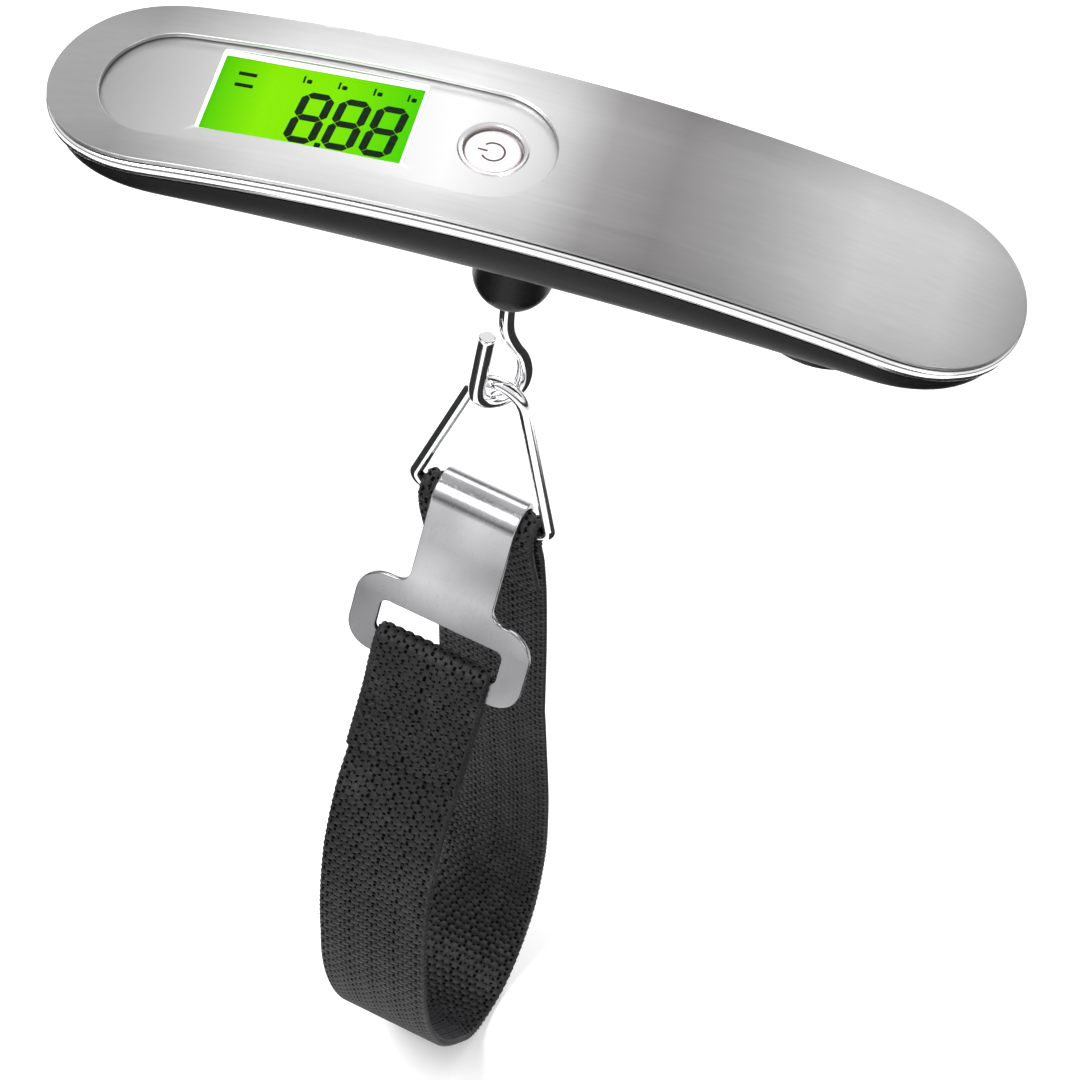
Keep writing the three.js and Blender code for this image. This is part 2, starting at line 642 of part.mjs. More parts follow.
// A point on the T-hook plate: distance down it, and distance in front of its middle plane.
const PLATE_START = [PLATE_BEND_R * Math.cos(PLATE_TILT), PLATE_BEND_R * Math.sin(PLATE_TILT)];

function platePoint(down, front) {
  return [
    PLATE_START[0] + down * Math.sin(PLATE_TILT) + front * Math.cos(PLATE_TILT),
    PLATE_START[1] - down * Math.cos(PLATE_TILT) + front * Math.sin(PLATE_TILT),
  ];
}

function teeOutline() {
  const shape = new THREE.Shape();
  const neck = PLATE_NECK_HALF;
  const wide = PLATE_HALF;
  const shoulder = -19.2;
  const bottom = -PLATE_LENGTH;
  shape.moveTo(-neck, PLATE_BEND_R + 4);
  shape.lineTo(-neck, shoulder + 3.2);
  shape.absarc(-neck - 2.6, shoulder + 3.2, 2.6, 0, -Math.PI / 2, true);
  shape.absarc(-wide + 5.6, shoulder - 5, 5.6, Math.PI / 2, Math.PI, false);
  shape.absarc(-wide + 5.2, bottom + 5.2, 5.2, Math.PI, 1.5 * Math.PI, false);
  shape.absarc(wide - 5.2, bottom + 5.2, 5.2, -Math.PI / 2, 0, false);
  shape.absarc(wide - 5.6, shoulder - 5, 5.6, 0, Math.PI / 2, false);
  shape.absarc(neck + 2.6, shoulder + 3.2, 2.6, -Math.PI / 2, -Math.PI, true);
  shape.lineTo(neck, PLATE_BEND_R + 4);
  shape.closePath();
  const slotHalfY = (PLATE_SLOT_BOTTOM - PLATE_SLOT_TOP) / 2;
  const slot = roundedRect(new THREE.Path(), PLATE_SLOT_HALF, slotHalfY, 1.6);
  const middle = -(PLATE_SLOT_TOP + PLATE_SLOT_BOTTOM) / 2;
  shape.holes.push(new THREE.Path(slot.getPoints(5).map((p) => new THREE.Vector2(p.x, p.y + middle))));
  return shape;
}

// The plate is its side view, drawn as wide as it gets, kept only inside its front view.
function buildPlate() {
  const lip = [[-PLATE_BEND_R, -3.6], [-PLATE_BEND_R, -2]];
  const bend = arcPoints(0, 0, PLATE_BEND_R, Math.PI, PLATE_TILT, 12);
  const side = ribbon([...lip, ...bend, platePoint(PLATE_LENGTH + 2, 0)], PLATE_THICK, 2 * PLATE_HALF + 4);
  const reach = 4 * PLATE_BEND_R;
  const settings = { depth: reach + 4, bevelEnabled: false, curveSegments: 6 };
  const front = new THREE.ExtrudeGeometry(teeOutline(), settings).translate(0, 0, -reach);
  const lean = new THREE.Matrix4().makeBasis(
    new THREE.Vector3(0, 0, -1),
    new THREE.Vector3(-Math.sin(PLATE_TILT), Math.cos(PLATE_TILT), 0),
    new THREE.Vector3(Math.cos(PLATE_TILT), Math.sin(PLATE_TILT), 0),
  ).setPosition(...PLATE_START, 0);
  addMesh('t_hook', onBar(common(side, front.applyMatrix4(lean))), 'satin');
}

const STRAP_OFF_PLATE = PLATE_THICK / 2 + WRAP_GAP + STRAP_THICK / 2;
const STRAP_BEND_R = RING_WIRE_R + WRAP_GAP + STRAP_THICK / 2;

// The strap from the ring's bar down its back, round the bottom of the loop and up its front.
const LOOP_ROUTE = [
  [-2.7, -7], [-4.8, -12.5], [-10, -29.8], [-20.6, -66], [-31.4, -104.3], [-39.6, -136.2],
  [-42.8, -157.5], [-40.9, -176.6], [-32.4, -188.5], [-19.8, -187.7], [-5.1, -171.8], [10, -149],
  [20.4, -124.5], [24.9, -101.1], [25.2, -80.9],
];
const LOOP_END = [22.4, -62];

function buildStrap() {
  const over = arcPoints(0, 0, STRAP_BEND_R, -0.3, Math.PI, 8);
  const tail = smooth([[-5.4, -22], [-3, -16], [-0.9, -10.5], [1.2, -4.6], over[0]], 2).slice(0, -1);
  const loop = smooth([over[8], [-STRAP_BEND_R, -3.4], ...LOOP_ROUTE, LOOP_END], 3).slice(1);
  addMesh('strap_loop', onBar(ribbon([...tail, ...over, ...loop], STRAP_THICK, STRAP_WIDTH)), 'webbing');
  buildFold();
}

// The strap's front end: up behind the plate, through its slot, and sewn back down the front.
function buildFold() {
  const layer = STRAP_THICK / 2 + 0.1;
  const start = [LOOP_END[0] - 0.1, LOOP_END[1] + 0.5];
  const back = smooth([start, platePoint(50, 0.4 - layer), platePoint(42, -layer - 0.1),
    platePoint(38, -STRAP_OFF_PLATE + 0.2), platePoint(35, -STRAP_OFF_PLATE)], 2);
  const [cx, cy] = platePoint(PLATE_SLOT_BOTTOM + GAP, 0);
  const round = arcPoints(cx, cy, STRAP_OFF_PLATE, PLATE_TILT + Math.PI, PLATE_TILT, 8);
  const front = smooth([platePoint(35, STRAP_OFF_PLATE), platePoint(38, STRAP_OFF_PLATE - 0.2),
    platePoint(42, layer + 0.1), platePoint(50, layer + 0.4), platePoint(56, layer + 0.7)], 2);
  addMesh('strap_fold', onBar(ribbon([...back, ...round, ...front], STRAP_THICK, STRAP_WIDTH)), 'webbing');
}

buildFacePlate();
buildRim();
buildPanel();
buildDisplay();
buildElectronics();
buildButton();
buildShell();
buildChassis();
buildCaseScrews();
buildLoadCell();
buildBracket();
buildBattery();
buildCollar();
buildHook();
buildHookNut();
buildRing();
buildPlate();
buildStrap();

export default scale;
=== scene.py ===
"""Digital luggage scale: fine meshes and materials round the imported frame, in metres."""
import math
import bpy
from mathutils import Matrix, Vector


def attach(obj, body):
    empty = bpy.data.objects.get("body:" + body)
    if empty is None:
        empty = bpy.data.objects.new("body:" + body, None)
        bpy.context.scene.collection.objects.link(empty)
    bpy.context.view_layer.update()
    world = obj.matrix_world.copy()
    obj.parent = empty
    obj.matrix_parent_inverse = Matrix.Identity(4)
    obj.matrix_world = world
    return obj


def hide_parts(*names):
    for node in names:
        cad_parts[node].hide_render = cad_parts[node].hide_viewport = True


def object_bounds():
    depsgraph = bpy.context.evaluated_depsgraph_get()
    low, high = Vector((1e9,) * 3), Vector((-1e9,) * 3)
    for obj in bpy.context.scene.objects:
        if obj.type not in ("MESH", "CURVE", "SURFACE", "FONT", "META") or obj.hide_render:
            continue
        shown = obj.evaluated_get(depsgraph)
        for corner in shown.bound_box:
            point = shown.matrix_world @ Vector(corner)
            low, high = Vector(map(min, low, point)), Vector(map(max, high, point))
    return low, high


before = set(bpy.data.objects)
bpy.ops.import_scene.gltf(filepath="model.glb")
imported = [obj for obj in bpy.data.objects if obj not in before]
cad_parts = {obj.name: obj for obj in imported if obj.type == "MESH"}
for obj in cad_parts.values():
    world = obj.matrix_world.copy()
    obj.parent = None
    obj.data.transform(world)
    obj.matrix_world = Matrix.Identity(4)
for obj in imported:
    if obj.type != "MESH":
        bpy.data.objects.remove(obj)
CAD_BOX = [list(corner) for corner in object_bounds()]

import bmesh
import bpy
import numpy as np
from mathutils import Matrix, Vector

MM = 0.001
TAU = 2 * math.pi

# ---- sizes shared with the frame, in mm
FACE_RADIUS = 345
BODY_CHORD = 160
BODY_WIDTH = 35.3
END_LENGTH = 22
SIDE_TAPER = 0.03
HALF_ARC = FACE_RADIUS * math.asin(BODY_CHORD / 2 / FACE_RADIUS)
FACE_THICK = 0.8
RIM_TOP = 1.1
RIM_BOTTOM = 4.1
SHELL_TOP = 4.4
SHELL_DEEP = 14.6
SHELL_RISE = 3.7
SHELL_RISE_AT = 56
SHELL_INSET = 0.4
SHELL_WALL = 1.7
RECESS = (-60.9, -8.6)
RECESS_Y = -0.3
RECESS_HALF = 11.2
WINDOW_X = -37.6
WINDOW_Y = 1.0
WINDOW_LONG = 34.1
WINDOW_WIDE = 17.6
BUTTON_X = -7.6
BUTTON_R = 4.6
BUTTON_TOP = 1.7
ROD_X = -1.5
ROD_R = 1.5
COLLAR_R = 6.75
COLLAR_BALL_Z = -28.8
HOOK_HEADING = math.radians(40)
HOOK_BEND_R = 4.35
HOOK_BEND_W = 0.75
HOOK_BOTTOM_Z = -61.65
HOOK_TIP_Z = -44
BAR_HEADING = math.radians(-12.5)
BAR_Z = -91.4
RING_WIRE_R = 1.2
RING_HALF = 12.75
RING_CORNER_R = 2.2
RING_APEX_R = 5.4
PLATE_THICK = 1.0
PLATE_TILT = math.radians(16)
STRAP_THICK = 1.4
STRAP_WIDTH = 22
WRAP_GAP = 0.35
PLATE_BEND_R = RING_WIRE_R + 2 * WRAP_GAP + STRAP_THICK + PLATE_THICK / 2
BATTERY_X = 50
COVER_R = 12
COVER_OUT = 14.4


# ---- camera, light and floor, in metres
CAMERA_PLACE = (0.07147, -0.52862, 0.58584)
CAMERA_RIGHT = Vector((0.9642, 0.2445, 0.1027))
CAMERA_UP = Vector((-0.2554, 0.7525, 0.6070))
CAMERA_LENS = 167.93
LIGHT_TARGET = Vector((0, 0, -0.08))
FLOOR_Z = CAD_BOX[0][2] - 0.0006
FLOOR_REACH = 3.0
FLAG_FRONT = -0.22
FLAG_BACK = 0.10
FLAG_LIFT = 0.0008


def make_camera():
    data = bpy.data.cameras.new("camera")
    camera = bpy.data.objects.new("camera", data)
    bpy.context.scene.collection.objects.link(camera)
    back = CAMERA_RIGHT.cross(CAMERA_UP).normalized()
    up = back.cross(CAMERA_RIGHT.normalized())
    turn = Matrix((CAMERA_RIGHT.normalized(), up, back)).transposed()
    camera.matrix_world = Matrix.Translation(CAMERA_PLACE) @ turn.to_4x4()
    data.sensor_width = 36
    data.lens = CAMERA_LENS
    bpy.context.scene.camera = camera


def area_light(name, place, size, power):
    data = bpy.data.lights.new(name, "AREA")
    data.shape = "RECTANGLE"
    data.size, data.size_y = size
    data.energy = power
    lamp = bpy.data.objects.new(name, data)
    bpy.context.scene.collection.objects.link(lamp)
    lamp.location = place
    lamp.rotation_mode = "QUATERNION"
    lamp.rotation_quaternion = (LIGHT_TARGET - Vector(place)).to_track_quat("-Z", "Y")


def make_studio():
    """Three soft boxes, and a pale sky with a dark band just above its horizon for the metal."""
    area_light("key", (-0.55, -0.35, 0.9), (0.7, 0.5), 15)
    area_light("fill", (0.75, -0.6, 0.55), (0.4, 0.6), 5)
    area_light("back_strip", (0.1, 0.9, 0.5), (1.1, 0.25), 4.5)
    world = bpy.data.worlds.new("studio")
    bpy.context.scene.world = world
    world.use_nodes = True
    tree = Tree(world.node_tree)
    spot = tree.add("ShaderNodeTexCoord")
    split = tree.add("ShaderNodeSeparateXYZ", Vector=spot.outputs["Generated"])
    ramp = tree.ramp(split.outputs["Z"], [
        (-1.0, (0.92, 0.92, 0.92)), (-0.02, (0.85, 0.85, 0.85)), (0.0, (0.04, 0.04, 0.04)),
        (0.20, (0.05, 0.05, 0.05)), (0.30, (0.75, 0.75, 0.75)), (1.0, (1.0, 1.0, 1.0))], low=-1, high=1)
    sky = tree.add("ShaderNodeBackground", Color=ramp, Strength=1.0)
    tree.links.new(sky.outputs[0], tree.output.inputs["Surface"])


def make_flags():
    """Dark cards lying beside the hanging parts, which only mirror reflections see."""
    tree, shader = new_material("flag_black", (0.004, 0.004, 0.004), rough=1.0)
    tree.bump(shader, tree.noise(300, 2), 0.02, 0.0002)
    for side, x_near, x_far in (("left", -0.075, -0.40), ("right", 0.055, 0.40)):
        mesh = bpy.data.meshes.new("flag_" + side)
        z = FLOOR_Z + FLAG_LIFT
        corners = [(x_near, FLAG_FRONT, z), (x_far, FLAG_FRONT, z),
                   (x_far, FLAG_BACK, z), (x_near, FLAG_BACK, z)]
        mesh.from_pydata(corners, [], [(0, 1, 2, 3)])
        mesh.materials.append(tree.material)
        flag = bpy.data.objects.new("flag_" + side, mesh)
        bpy.context.scene.collection.objects.link(flag)
        flag.visible_camera = False
        flag.visible_diffuse = False
        flag.visible_shadow = False


def make_floor():
    mesh = bpy.data.meshes.new("floor")
    ways = ((-1, -1), (1, -1), (1, 1), (-1, 1))
    corners = [(x * FLOOR_REACH, y * FLOOR_REACH, FLOOR_Z) for x, y in ways]
    mesh.from_pydata(corners, [], [(0, 1, 2, 3)])
    floor = bpy.data.objects.new("floor", mesh)
    bpy.context.scene.collection.objects.link(floor)
    tree, shader = new_material("floor_paper", (0.93, 0.93, 0.93), rough=0.9)
    tree.bump(shader, tree.noise(400, 2), 0.02, 0.0002)
    mesh.materials.append(tree.material)


# ---- materials
class Tree:
    """A node tree with short ways to add what the materials below need."""

    def __init__(self, node_tree, material=None):
        self.nodes, self.links = node_tree.nodes, node_tree.links
        self.material = material
        self.output = next(n for n in self.nodes if n.type.startswith("OUTPUT"))
        self.spot = None

    def add(self, kind, **inputs):
        node = self.nodes.new(kind)
        for name, value in inputs.items():
            self.put(node.inputs[name.replace("_", " ")], value)
        return node

    def put(self, socket, value):
        if isinstance(value, bpy.types.NodeSocket):
            self.links.new(value, socket)
        else:
            socket.default_value = value

    def coords(self, stretch=(1, 1, 1)):
        spot = self.add("ShaderNodeTexCoord").outputs["Object"]
        return self.add("ShaderNodeMapping", Vector=spot, Scale=stretch).outputs[0]

    def noise(self, scale, detail=4, stretch=(1, 1, 1), rough=0.55):
        node = self.add("ShaderNodeTexNoise", Vector=self.coords(stretch), Scale=scale, Detail=detail)
        node.inputs["Roughness"].default_value = rough
        return node.outputs[0]

    def ramp(self, value, stops, low=0.0, high=1.0):
        spread = self.add("ShaderNodeMapRange", Value=value)
        spread.inputs["From Min"].default_value = low
        spread.inputs["From Max"].default_value = high
        node = self.add("ShaderNodeValToRGB", Fac=spread.outputs[0])
        band = node.color_ramp
        while len(band.elements) < len(stops):
            band.elements.new(0.5)
        for element, (place, colour) in zip(band.elements, stops):
            element.position = (place - low) / (high - low)
            element.color = (*colour, 1)
        return node.outputs[0]

    def math(self, operation, a, b=0.0):
        node = self.nodes.new("ShaderNodeMath")
        node.operation = operation
        self.put(node.inputs[0], a)
        self.put(node.inputs[1], b)
        return node.outputs[0]

    def mix(self, factor, a, b, kind="MIX"):
        node = self.nodes.new("ShaderNodeMix")
        node.data_type = "RGBA"
        node.blend_type = kind
        self.put(node.inputs[0], factor)
        self.put(node.inputs[6], a)
        self.put(node.inputs[7], b)
        return node.outputs[2]

    def bump(self, shader, height, strength, distance):
        node = self.add("ShaderNodeBump", Height=height, Strength=strength, Distance=distance)
        self.put(shader.inputs["Normal"], node.outputs[0])


def new_material(name, colour, rough=0.5, metal=0.0, **more):
    material = bpy.data.materials.new(name)
    material.use_nodes = True
    shader = next(n for n in material.node_tree.nodes if n.type == "BSDF_PRINCIPLED")
    shader.inputs["Base Color"].default_value = (*colour, 1)
    shader.inputs["Roughness"].default_value = rough
    shader.inputs["Metallic"].default_value = metal
    for key, value in more.items():
        shader.inputs[key.replace("_", " ")].default_value = value
    material.diffuse_color = (*colour, 1)
    return Tree(material.node_tree, material), shader


def rough_spread(tree, shader, value, low, high):
    spread = tree.add("ShaderNodeMapRange", Value=value)
    spread.inputs["To Min"].default_value = low
    spread.inputs["To Max"].default_value = high
    tree.put(shader.inputs["Roughness"], spread.outputs[0])


def along_body(tree):
    spot = tree.add("ShaderNodeTexCoord").outputs["Object"]
    return tree.add("ShaderNodeSeparateXYZ", Vector=spot).outputs["X"]


def brushed_face():
    """Stainless sheet brushed across, with painted reflections: soft light and dark tones painted along it,
    and painted shade towards its long edges.
    """
    tree, shader = new_material("brushed_face", (0.5, 0.5, 0.51), rough=0.34, metal=0.9)
    # painted reflections: light and dark tones painted into the colour along the body by position
    painted_reflection_bands = tree.ramp(along_body(tree), [
        (-0.080, (0.37, 0.37, 0.37)), (-0.066, (0.34, 0.34, 0.34)), (-0.042, (0.63, 0.63, 0.63)),
        (-0.014, (0.68, 0.68, 0.68)), (0.001, (0.49, 0.49, 0.49)), (0.010, (0.27, 0.263, 0.267)),
        (0.021, (0.19, 0.184, 0.187)), (0.034, (0.256, 0.253, 0.254)), (0.052, (0.40, 0.40, 0.40)),
        (0.067, (0.37, 0.37, 0.37)), (0.080, (0.21, 0.21, 0.21))], low=-0.08, high=0.08)
    # painted shade: the colour darkens towards the face's two long edges
    spot = tree.add("ShaderNodeTexCoord").outputs["Object"]
    width = tree.add("ShaderNodeSeparateXYZ", Vector=spot).outputs["Y"]
    shade = tree.ramp(width, [(-0.0175, (0.80, 0.80, 0.80)), (-0.009, (0.95, 0.95, 0.95)),
                              (0.010, (1, 1, 1)), (0.0175, (0.78, 0.78, 0.78))], low=-0.0175, high=0.0175)
    painted_reflection_bands = tree.mix(1.0, painted_reflection_bands, shade, "MULTIPLY")
    grain = tree.noise(900, 5, (0.05, 1.6, 1), 0.7)
    fine = tree.ramp(grain, [(0.3, (0.93, 0.93, 0.93)), (0.7, (1, 1, 1))])
    tree.put(shader.inputs["Base Color"], tree.mix(1.0, painted_reflection_bands, fine, "MULTIPLY"))
    rough_spread(tree, shader, grain, 0.28, 0.42)
    tree.bump(shader, grain, 0.06, 0.00006)
    return tree.material


def satin_silver():
    tree, shader = new_material("satin_silver", (0.82, 0.82, 0.83), rough=0.36, metal=0.75)
    grain = tree.noise(1500, 3)
    # painted reflections: light and dark tones painted into the panel's colour along the body by position
    tone = tree.ramp(along_body(tree), [
        (-0.073, (0.28, 0.28, 0.28)), (-0.056, (0.42, 0.42, 0.42)), (-0.014, (0.62, 0.62, 0.62)),
        (0.004, (0.42, 0.42, 0.42))], low=-0.08, high=0.01)
    tree.put(shader.inputs["Base Color"], tone)
    rough_spread(tree, shader, grain, 0.3, 0.42)
    tree.bump(shader, grain, 0.04, 0.00005)
    return tree.material


def chrome(name, tone=0.86, rough=0.07):
    tree, shader = new_material(name, (tone, tone, tone + 0.01), rough=rough, metal=1.0)
    smear = tree.noise(160, 3)
    rough_spread(tree, shader, smear, rough * 0.7, rough * 1.7)
    tree.bump(shader, tree.noise(700, 2), 0.012, 0.00008)
    return tree.material


def satin_plate():
    """Stamped steel with a cloudy tone, and painted shade and painted highlights by height: darker and duller
    over its flat middle, brighter towards its edges.
    """
    tree, shader = new_material("satin_plate", (0.62, 0.62, 0.63), rough=0.3, metal=0.95)
    grain = tree.noise(1100, 4, (1, 1, 0.08), 0.65)
    clouds = tree.noise(38, 2)
    tone = tree.ramp(clouds, [(0.35, (0.26, 0.26, 0.27)), (0.65, (0.46, 0.46, 0.47))])
    # painted shade and painted highlights: bright and dark tones painted into the colour by height
    spot = tree.add("ShaderNodeTexCoord").outputs["Object"]
    height = tree.add("ShaderNodeSeparateXYZ", Vector=spot).outputs["Z"]
    shade = tree.ramp(height, [(-0.125, (0.62, 0.62, 0.62)), (-0.113, (0.52, 0.52, 0.52)),
                               (-0.106, (0.95, 0.95, 0.95)), (-0.098, (0.78, 0.78, 0.78)),
                               (-0.09, (1.0, 1.0, 1.0))], low=-0.125, high=-0.087)
    tree.put(shader.inputs["Base Color"], tree.mix(1.0, tone, shade, "MULTIPLY"))
    rough_spread(tree, shader, grain, 0.2, 0.32)
    tree.bump(shader, grain, 0.05, 0.00005)
    return tree.material


def moulded(name, colour, rough=0.45, grain=900, depth=0.00008, strength=0.12, shine=0.3, **more):
    tree, shader = new_material(name, colour, rough=rough, Specular_IOR_Level=shine, **more)
    texture = tree.noise(grain, 4)
    low = tuple(c * 0.85 for c in colour)
    high = tuple(min(1, c * 1.15 + 0.002) for c in colour)
    tree.put(shader.inputs["Base Color"], tree.ramp(texture, [(0.35, low), (0.65, high)]))
    rough_spread(tree, shader, texture, rough * 0.85, min(1, rough * 1.15))
    tree.bump(shader, texture, strength, depth)
    return tree.material


def metal(name, colour, rough=0.3):
    tree, shader = new_material(name, colour, rough=rough, metal=1.0)
    grain = tree.noise(800, 4, (1, 0.2, 1))
    rough_spread(tree, shader, grain, rough * 0.8, rough * 1.3)
    tree.bump(shader, grain, 0.06, 0.00005)
    return tree.material


def clear_window():
    tree, shader = new_material("clear_window", (0.01, 0.01, 0.01), rough=0.06, Alpha=0.02, IOR=1.2)
    tree.bump(shader, tree.noise(60, 1), 0.01, 0.0001)
    return tree.material


def lit_display():
    """A back-lit display: lime green, yellower in the middle, with a faint cell pattern."""
    tree, shader = new_material("lit_display", (0.005, 0.05, 0.0), rough=0.6)
    glow = tree.ramp(along_body(tree), [
        (-0.056, (0.05, 0.58, 0.0)), (-0.045, (0.30, 0.90, 0.0)), (-0.034, (0.26, 0.88, 0.0)),
        (-0.019, (0.05, 0.66, 0.0))], low=-0.057, high=-0.018)
    speck = tree.ramp(tree.noise(2200, 2), [(0.3, (0.94, 0.94, 0.94)), (0.7, (1, 1, 1))])
    colour = tree.mix(1.0, glow, speck, "MULTIPLY")
    tree.put(shader.inputs["Emission Color"], colour)
    tree.bump(shader, tree.noise(2200, 2), 0.02, 0.00003)
    shader.inputs["Emission Strength"].default_value = 0.9
    shader.inputs["Specular IOR Level"].default_value = 0.02
    return tree.material


def webbing_cloth(name="webbing_cloth", tone=0.009):
    """Black nylon: each yarn is a bundle of fine filaments with a soft sheen."""
    tree, shader = new_material(name, (tone, tone, tone * 1.15), rough=0.62)
    shader.inputs["Specular IOR Level"].default_value = 0.3
    shader.inputs["Sheen Weight"].default_value = 0.02
    shader.inputs["Sheen Roughness"].default_value = 0.4
    shader.inputs["Sheen Tint"].default_value = (0.7, 0.75, 0.9, 1)
    yarn = tree.noise(2600, 4, (1, 1, 0.25))
    patches = tree.noise(170, 3)
    both = tree.math("MULTIPLY", yarn, patches)
    shades = [(0.12, (tone * 0.3, tone * 0.3, tone * 0.33)), (0.30, (tone, tone, tone * 1.1)),
              (0.44, (tone * 3, tone * 3, tone * 3.2))]
    tree.put(shader.inputs["Base Color"], tree.ramp(both, shades))
    rough_spread(tree, shader, yarn, 0.45, 0.78)
    tree.bump(shader, yarn, 0.35, 0.00012)
    return tree.material


# ---- mesh helpers
def build(name, verts, faces, material, body, stands_for=(), smooth=40, weighted=True):
    mesh = bpy.data.meshes.new(name)
    mesh.from_pydata([tuple(v) for v in verts], [], faces)
    return finish_piece(name, mesh, material, body, stands_for, smooth, weighted)


def finish_piece(name, mesh, material, body, stands_for=(), smooth=40, weighted=True):
    mesh.validate()
    work = bmesh.new()
    work.from_mesh(mesh)
    bmesh.ops.remove_doubles(work, verts=work.verts, dist=1e-7)
    bmesh.ops.recalc_face_normals(work, faces=work.faces)
    work.to_mesh(mesh)
    work.free()
    mesh.shade_smooth()
    mesh.set_sharp_from_angle(angle=math.radians(smooth))
    mesh.materials.append(material)
    piece = bpy.data.objects.new(name, mesh)
    bpy.context.scene.collection.objects.link(piece)
    if weighted:
        normals = piece.modifiers.new("even_normals", "WEIGHTED_NORMAL")
        normals.keep_sharp = True
    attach(piece, body)
    if stands_for:
        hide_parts(*stands_for)
    return piece


def grid_faces(rows, columns, wrap_rows=False, wrap_columns=True):
    faces = []
    for i in range(rows if wrap_rows else rows - 1):
        for j in range(columns if wrap_columns else columns - 1):
            a, b = i * columns, ((i + 1) % rows) * columns
            k = (j + 1) % columns
            faces.append((a + j, b + j, b + k, a + k))
    return faces


def capped(rows, columns):
    last = (rows - 1) * columns
    return grid_faces(rows, columns) + [tuple(range(columns))[::-1], tuple(range(last, last + columns))]


def lathe(profile, steps, at):
    """Verts and faces of a profile (radius, height) turned about its own axis, then placed."""
    verts = [at(r * math.cos(TAU * i / steps), r * math.sin(TAU * i / steps), z)
             for i in range(steps) for r, z in profile]
    faces = grid_faces(steps, len(profile), wrap_rows=True, wrap_columns=False)
    return verts, faces


def closed_lathe(profile, steps, at):
    verts, _ = lathe(profile, steps, at)
    return verts, grid_faces(steps, len(profile), wrap_rows=True, wrap_columns=True)


def sheet(outer, holes, sides, cuts, place):
    """A plate: flat outlines filled, cut into strips so that it can bend, and given rounded edges.

    sides is the edge's profile from top to bottom, as (how far it stands out, depth)."""
    work = bmesh.new()
    for loop in [outer, *holes]:
        ring = [work.verts.new((x, y, 0)) for x, y in loop]
        for a, b in zip(ring, ring[1:] + ring[:1]):
            work.edges.new((a, b))
    bmesh.ops.triangle_fill(work, use_beauty=True, edges=work.edges[:], normal=(0, 0, 1))
    for x in cuts:
        everything = work.verts[:] + work.edges[:] + work.faces[:]
        bmesh.ops.bisect_plane(work, geom=everything, dist=1e-6, plane_co=(x, 0, 0), plane_no=(1, 0, 0))
    bmesh.ops.recalc_face_normals(work, faces=work.faces)
    if work.faces[0].normal.z < 0:
        bmesh.ops.reverse_faces(work, faces=work.faces)
    work.verts.index_update()
    flat = [v.co.copy() for v in work.verts]
    out = {}
    rim = []
    for edge in work.edges:
        if len(edge.link_faces) != 1:
            continue
        loop = edge.link_loops[0]
        a, b = loop.vert, loop.link_loop_next.vert
        run = (b.co - a.co).normalized()
        away = Vector((run.y, -run.x, 0))
        rim.append((a.index, b.index))
        for v in (a, b):
            out.setdefault(v.index, []).append(away)
    grow = {i: sum(ways, Vector()).normalized() for i, ways in out.items()}
    count = len(flat)
    verts = [place(p.x, p.y, sides[0][1]) for p in flat] + [place(p.x, p.y, sides[-1][1]) for p in flat]
    faces = [tuple(v.index for v in f.verts) for f in work.faces]
    faces += [tuple(v.index + count for v in reversed(f.verts)) for f in work.faces]
    work.free()
    layers = [{i: i for i in grow}]
    for stand, depth in sides[1:-1]:
        layer = {}
        for i, away in grow.items():
            layer[i] = len(verts)
            p = flat[i] + away * stand
            verts.append(place(p.x, p.y, depth))
        layers.append(layer)
    layers.append({i: i + count for i in grow})
    for upper, lower in zip(layers, layers[1:]):
        faces += [(upper[a], lower[a], lower[b], upper[b]) for a, b in rim]
    return verts, faces


def rounded_side(top, bottom, edge):
    return [(0, top), (edge * 0.5, top + edge * 0.13), (edge * 0.87, top + edge * 0.5), (edge, top + edge),
            (edge, bottom - edge), (edge * 0.87, bottom - edge * 0.5), (edge * 0.5, bottom - edge * 0.13),
            (0, bottom)]


def wire(points, radius, normal, sides=28, closed=False, ends=None):
    """A round wire along points that lie in one plane; ends scales the radius near a free end."""
    count = len(points)
    verts = []
    for i, p in enumerate(points):
        before = points[(i - 1) % count] if closed or i else p
        after = points[(i + 1) % count] if closed or i < count - 1 else p
        run = (after - before).normalized()
        side = run.cross(normal).normalized()
        r = radius * (ends[i] if ends else 1)
        verts += [(p + side * r * math.cos(TAU * j / sides) + normal * r * math.sin(TAU * j / sides)) * MM
                  for j in range(sides)]
    faces = grid_faces(count, sides, wrap_rows=True) if closed else capped(count, sides)
    return verts, faces


def arc(cx, cy, radius, start, end, count):
    return [(cx + radius * math.cos(start + (end - start) * i / count),
             cy + radius * math.sin(start + (end - start) * i / count)) for i in range(count + 1)]


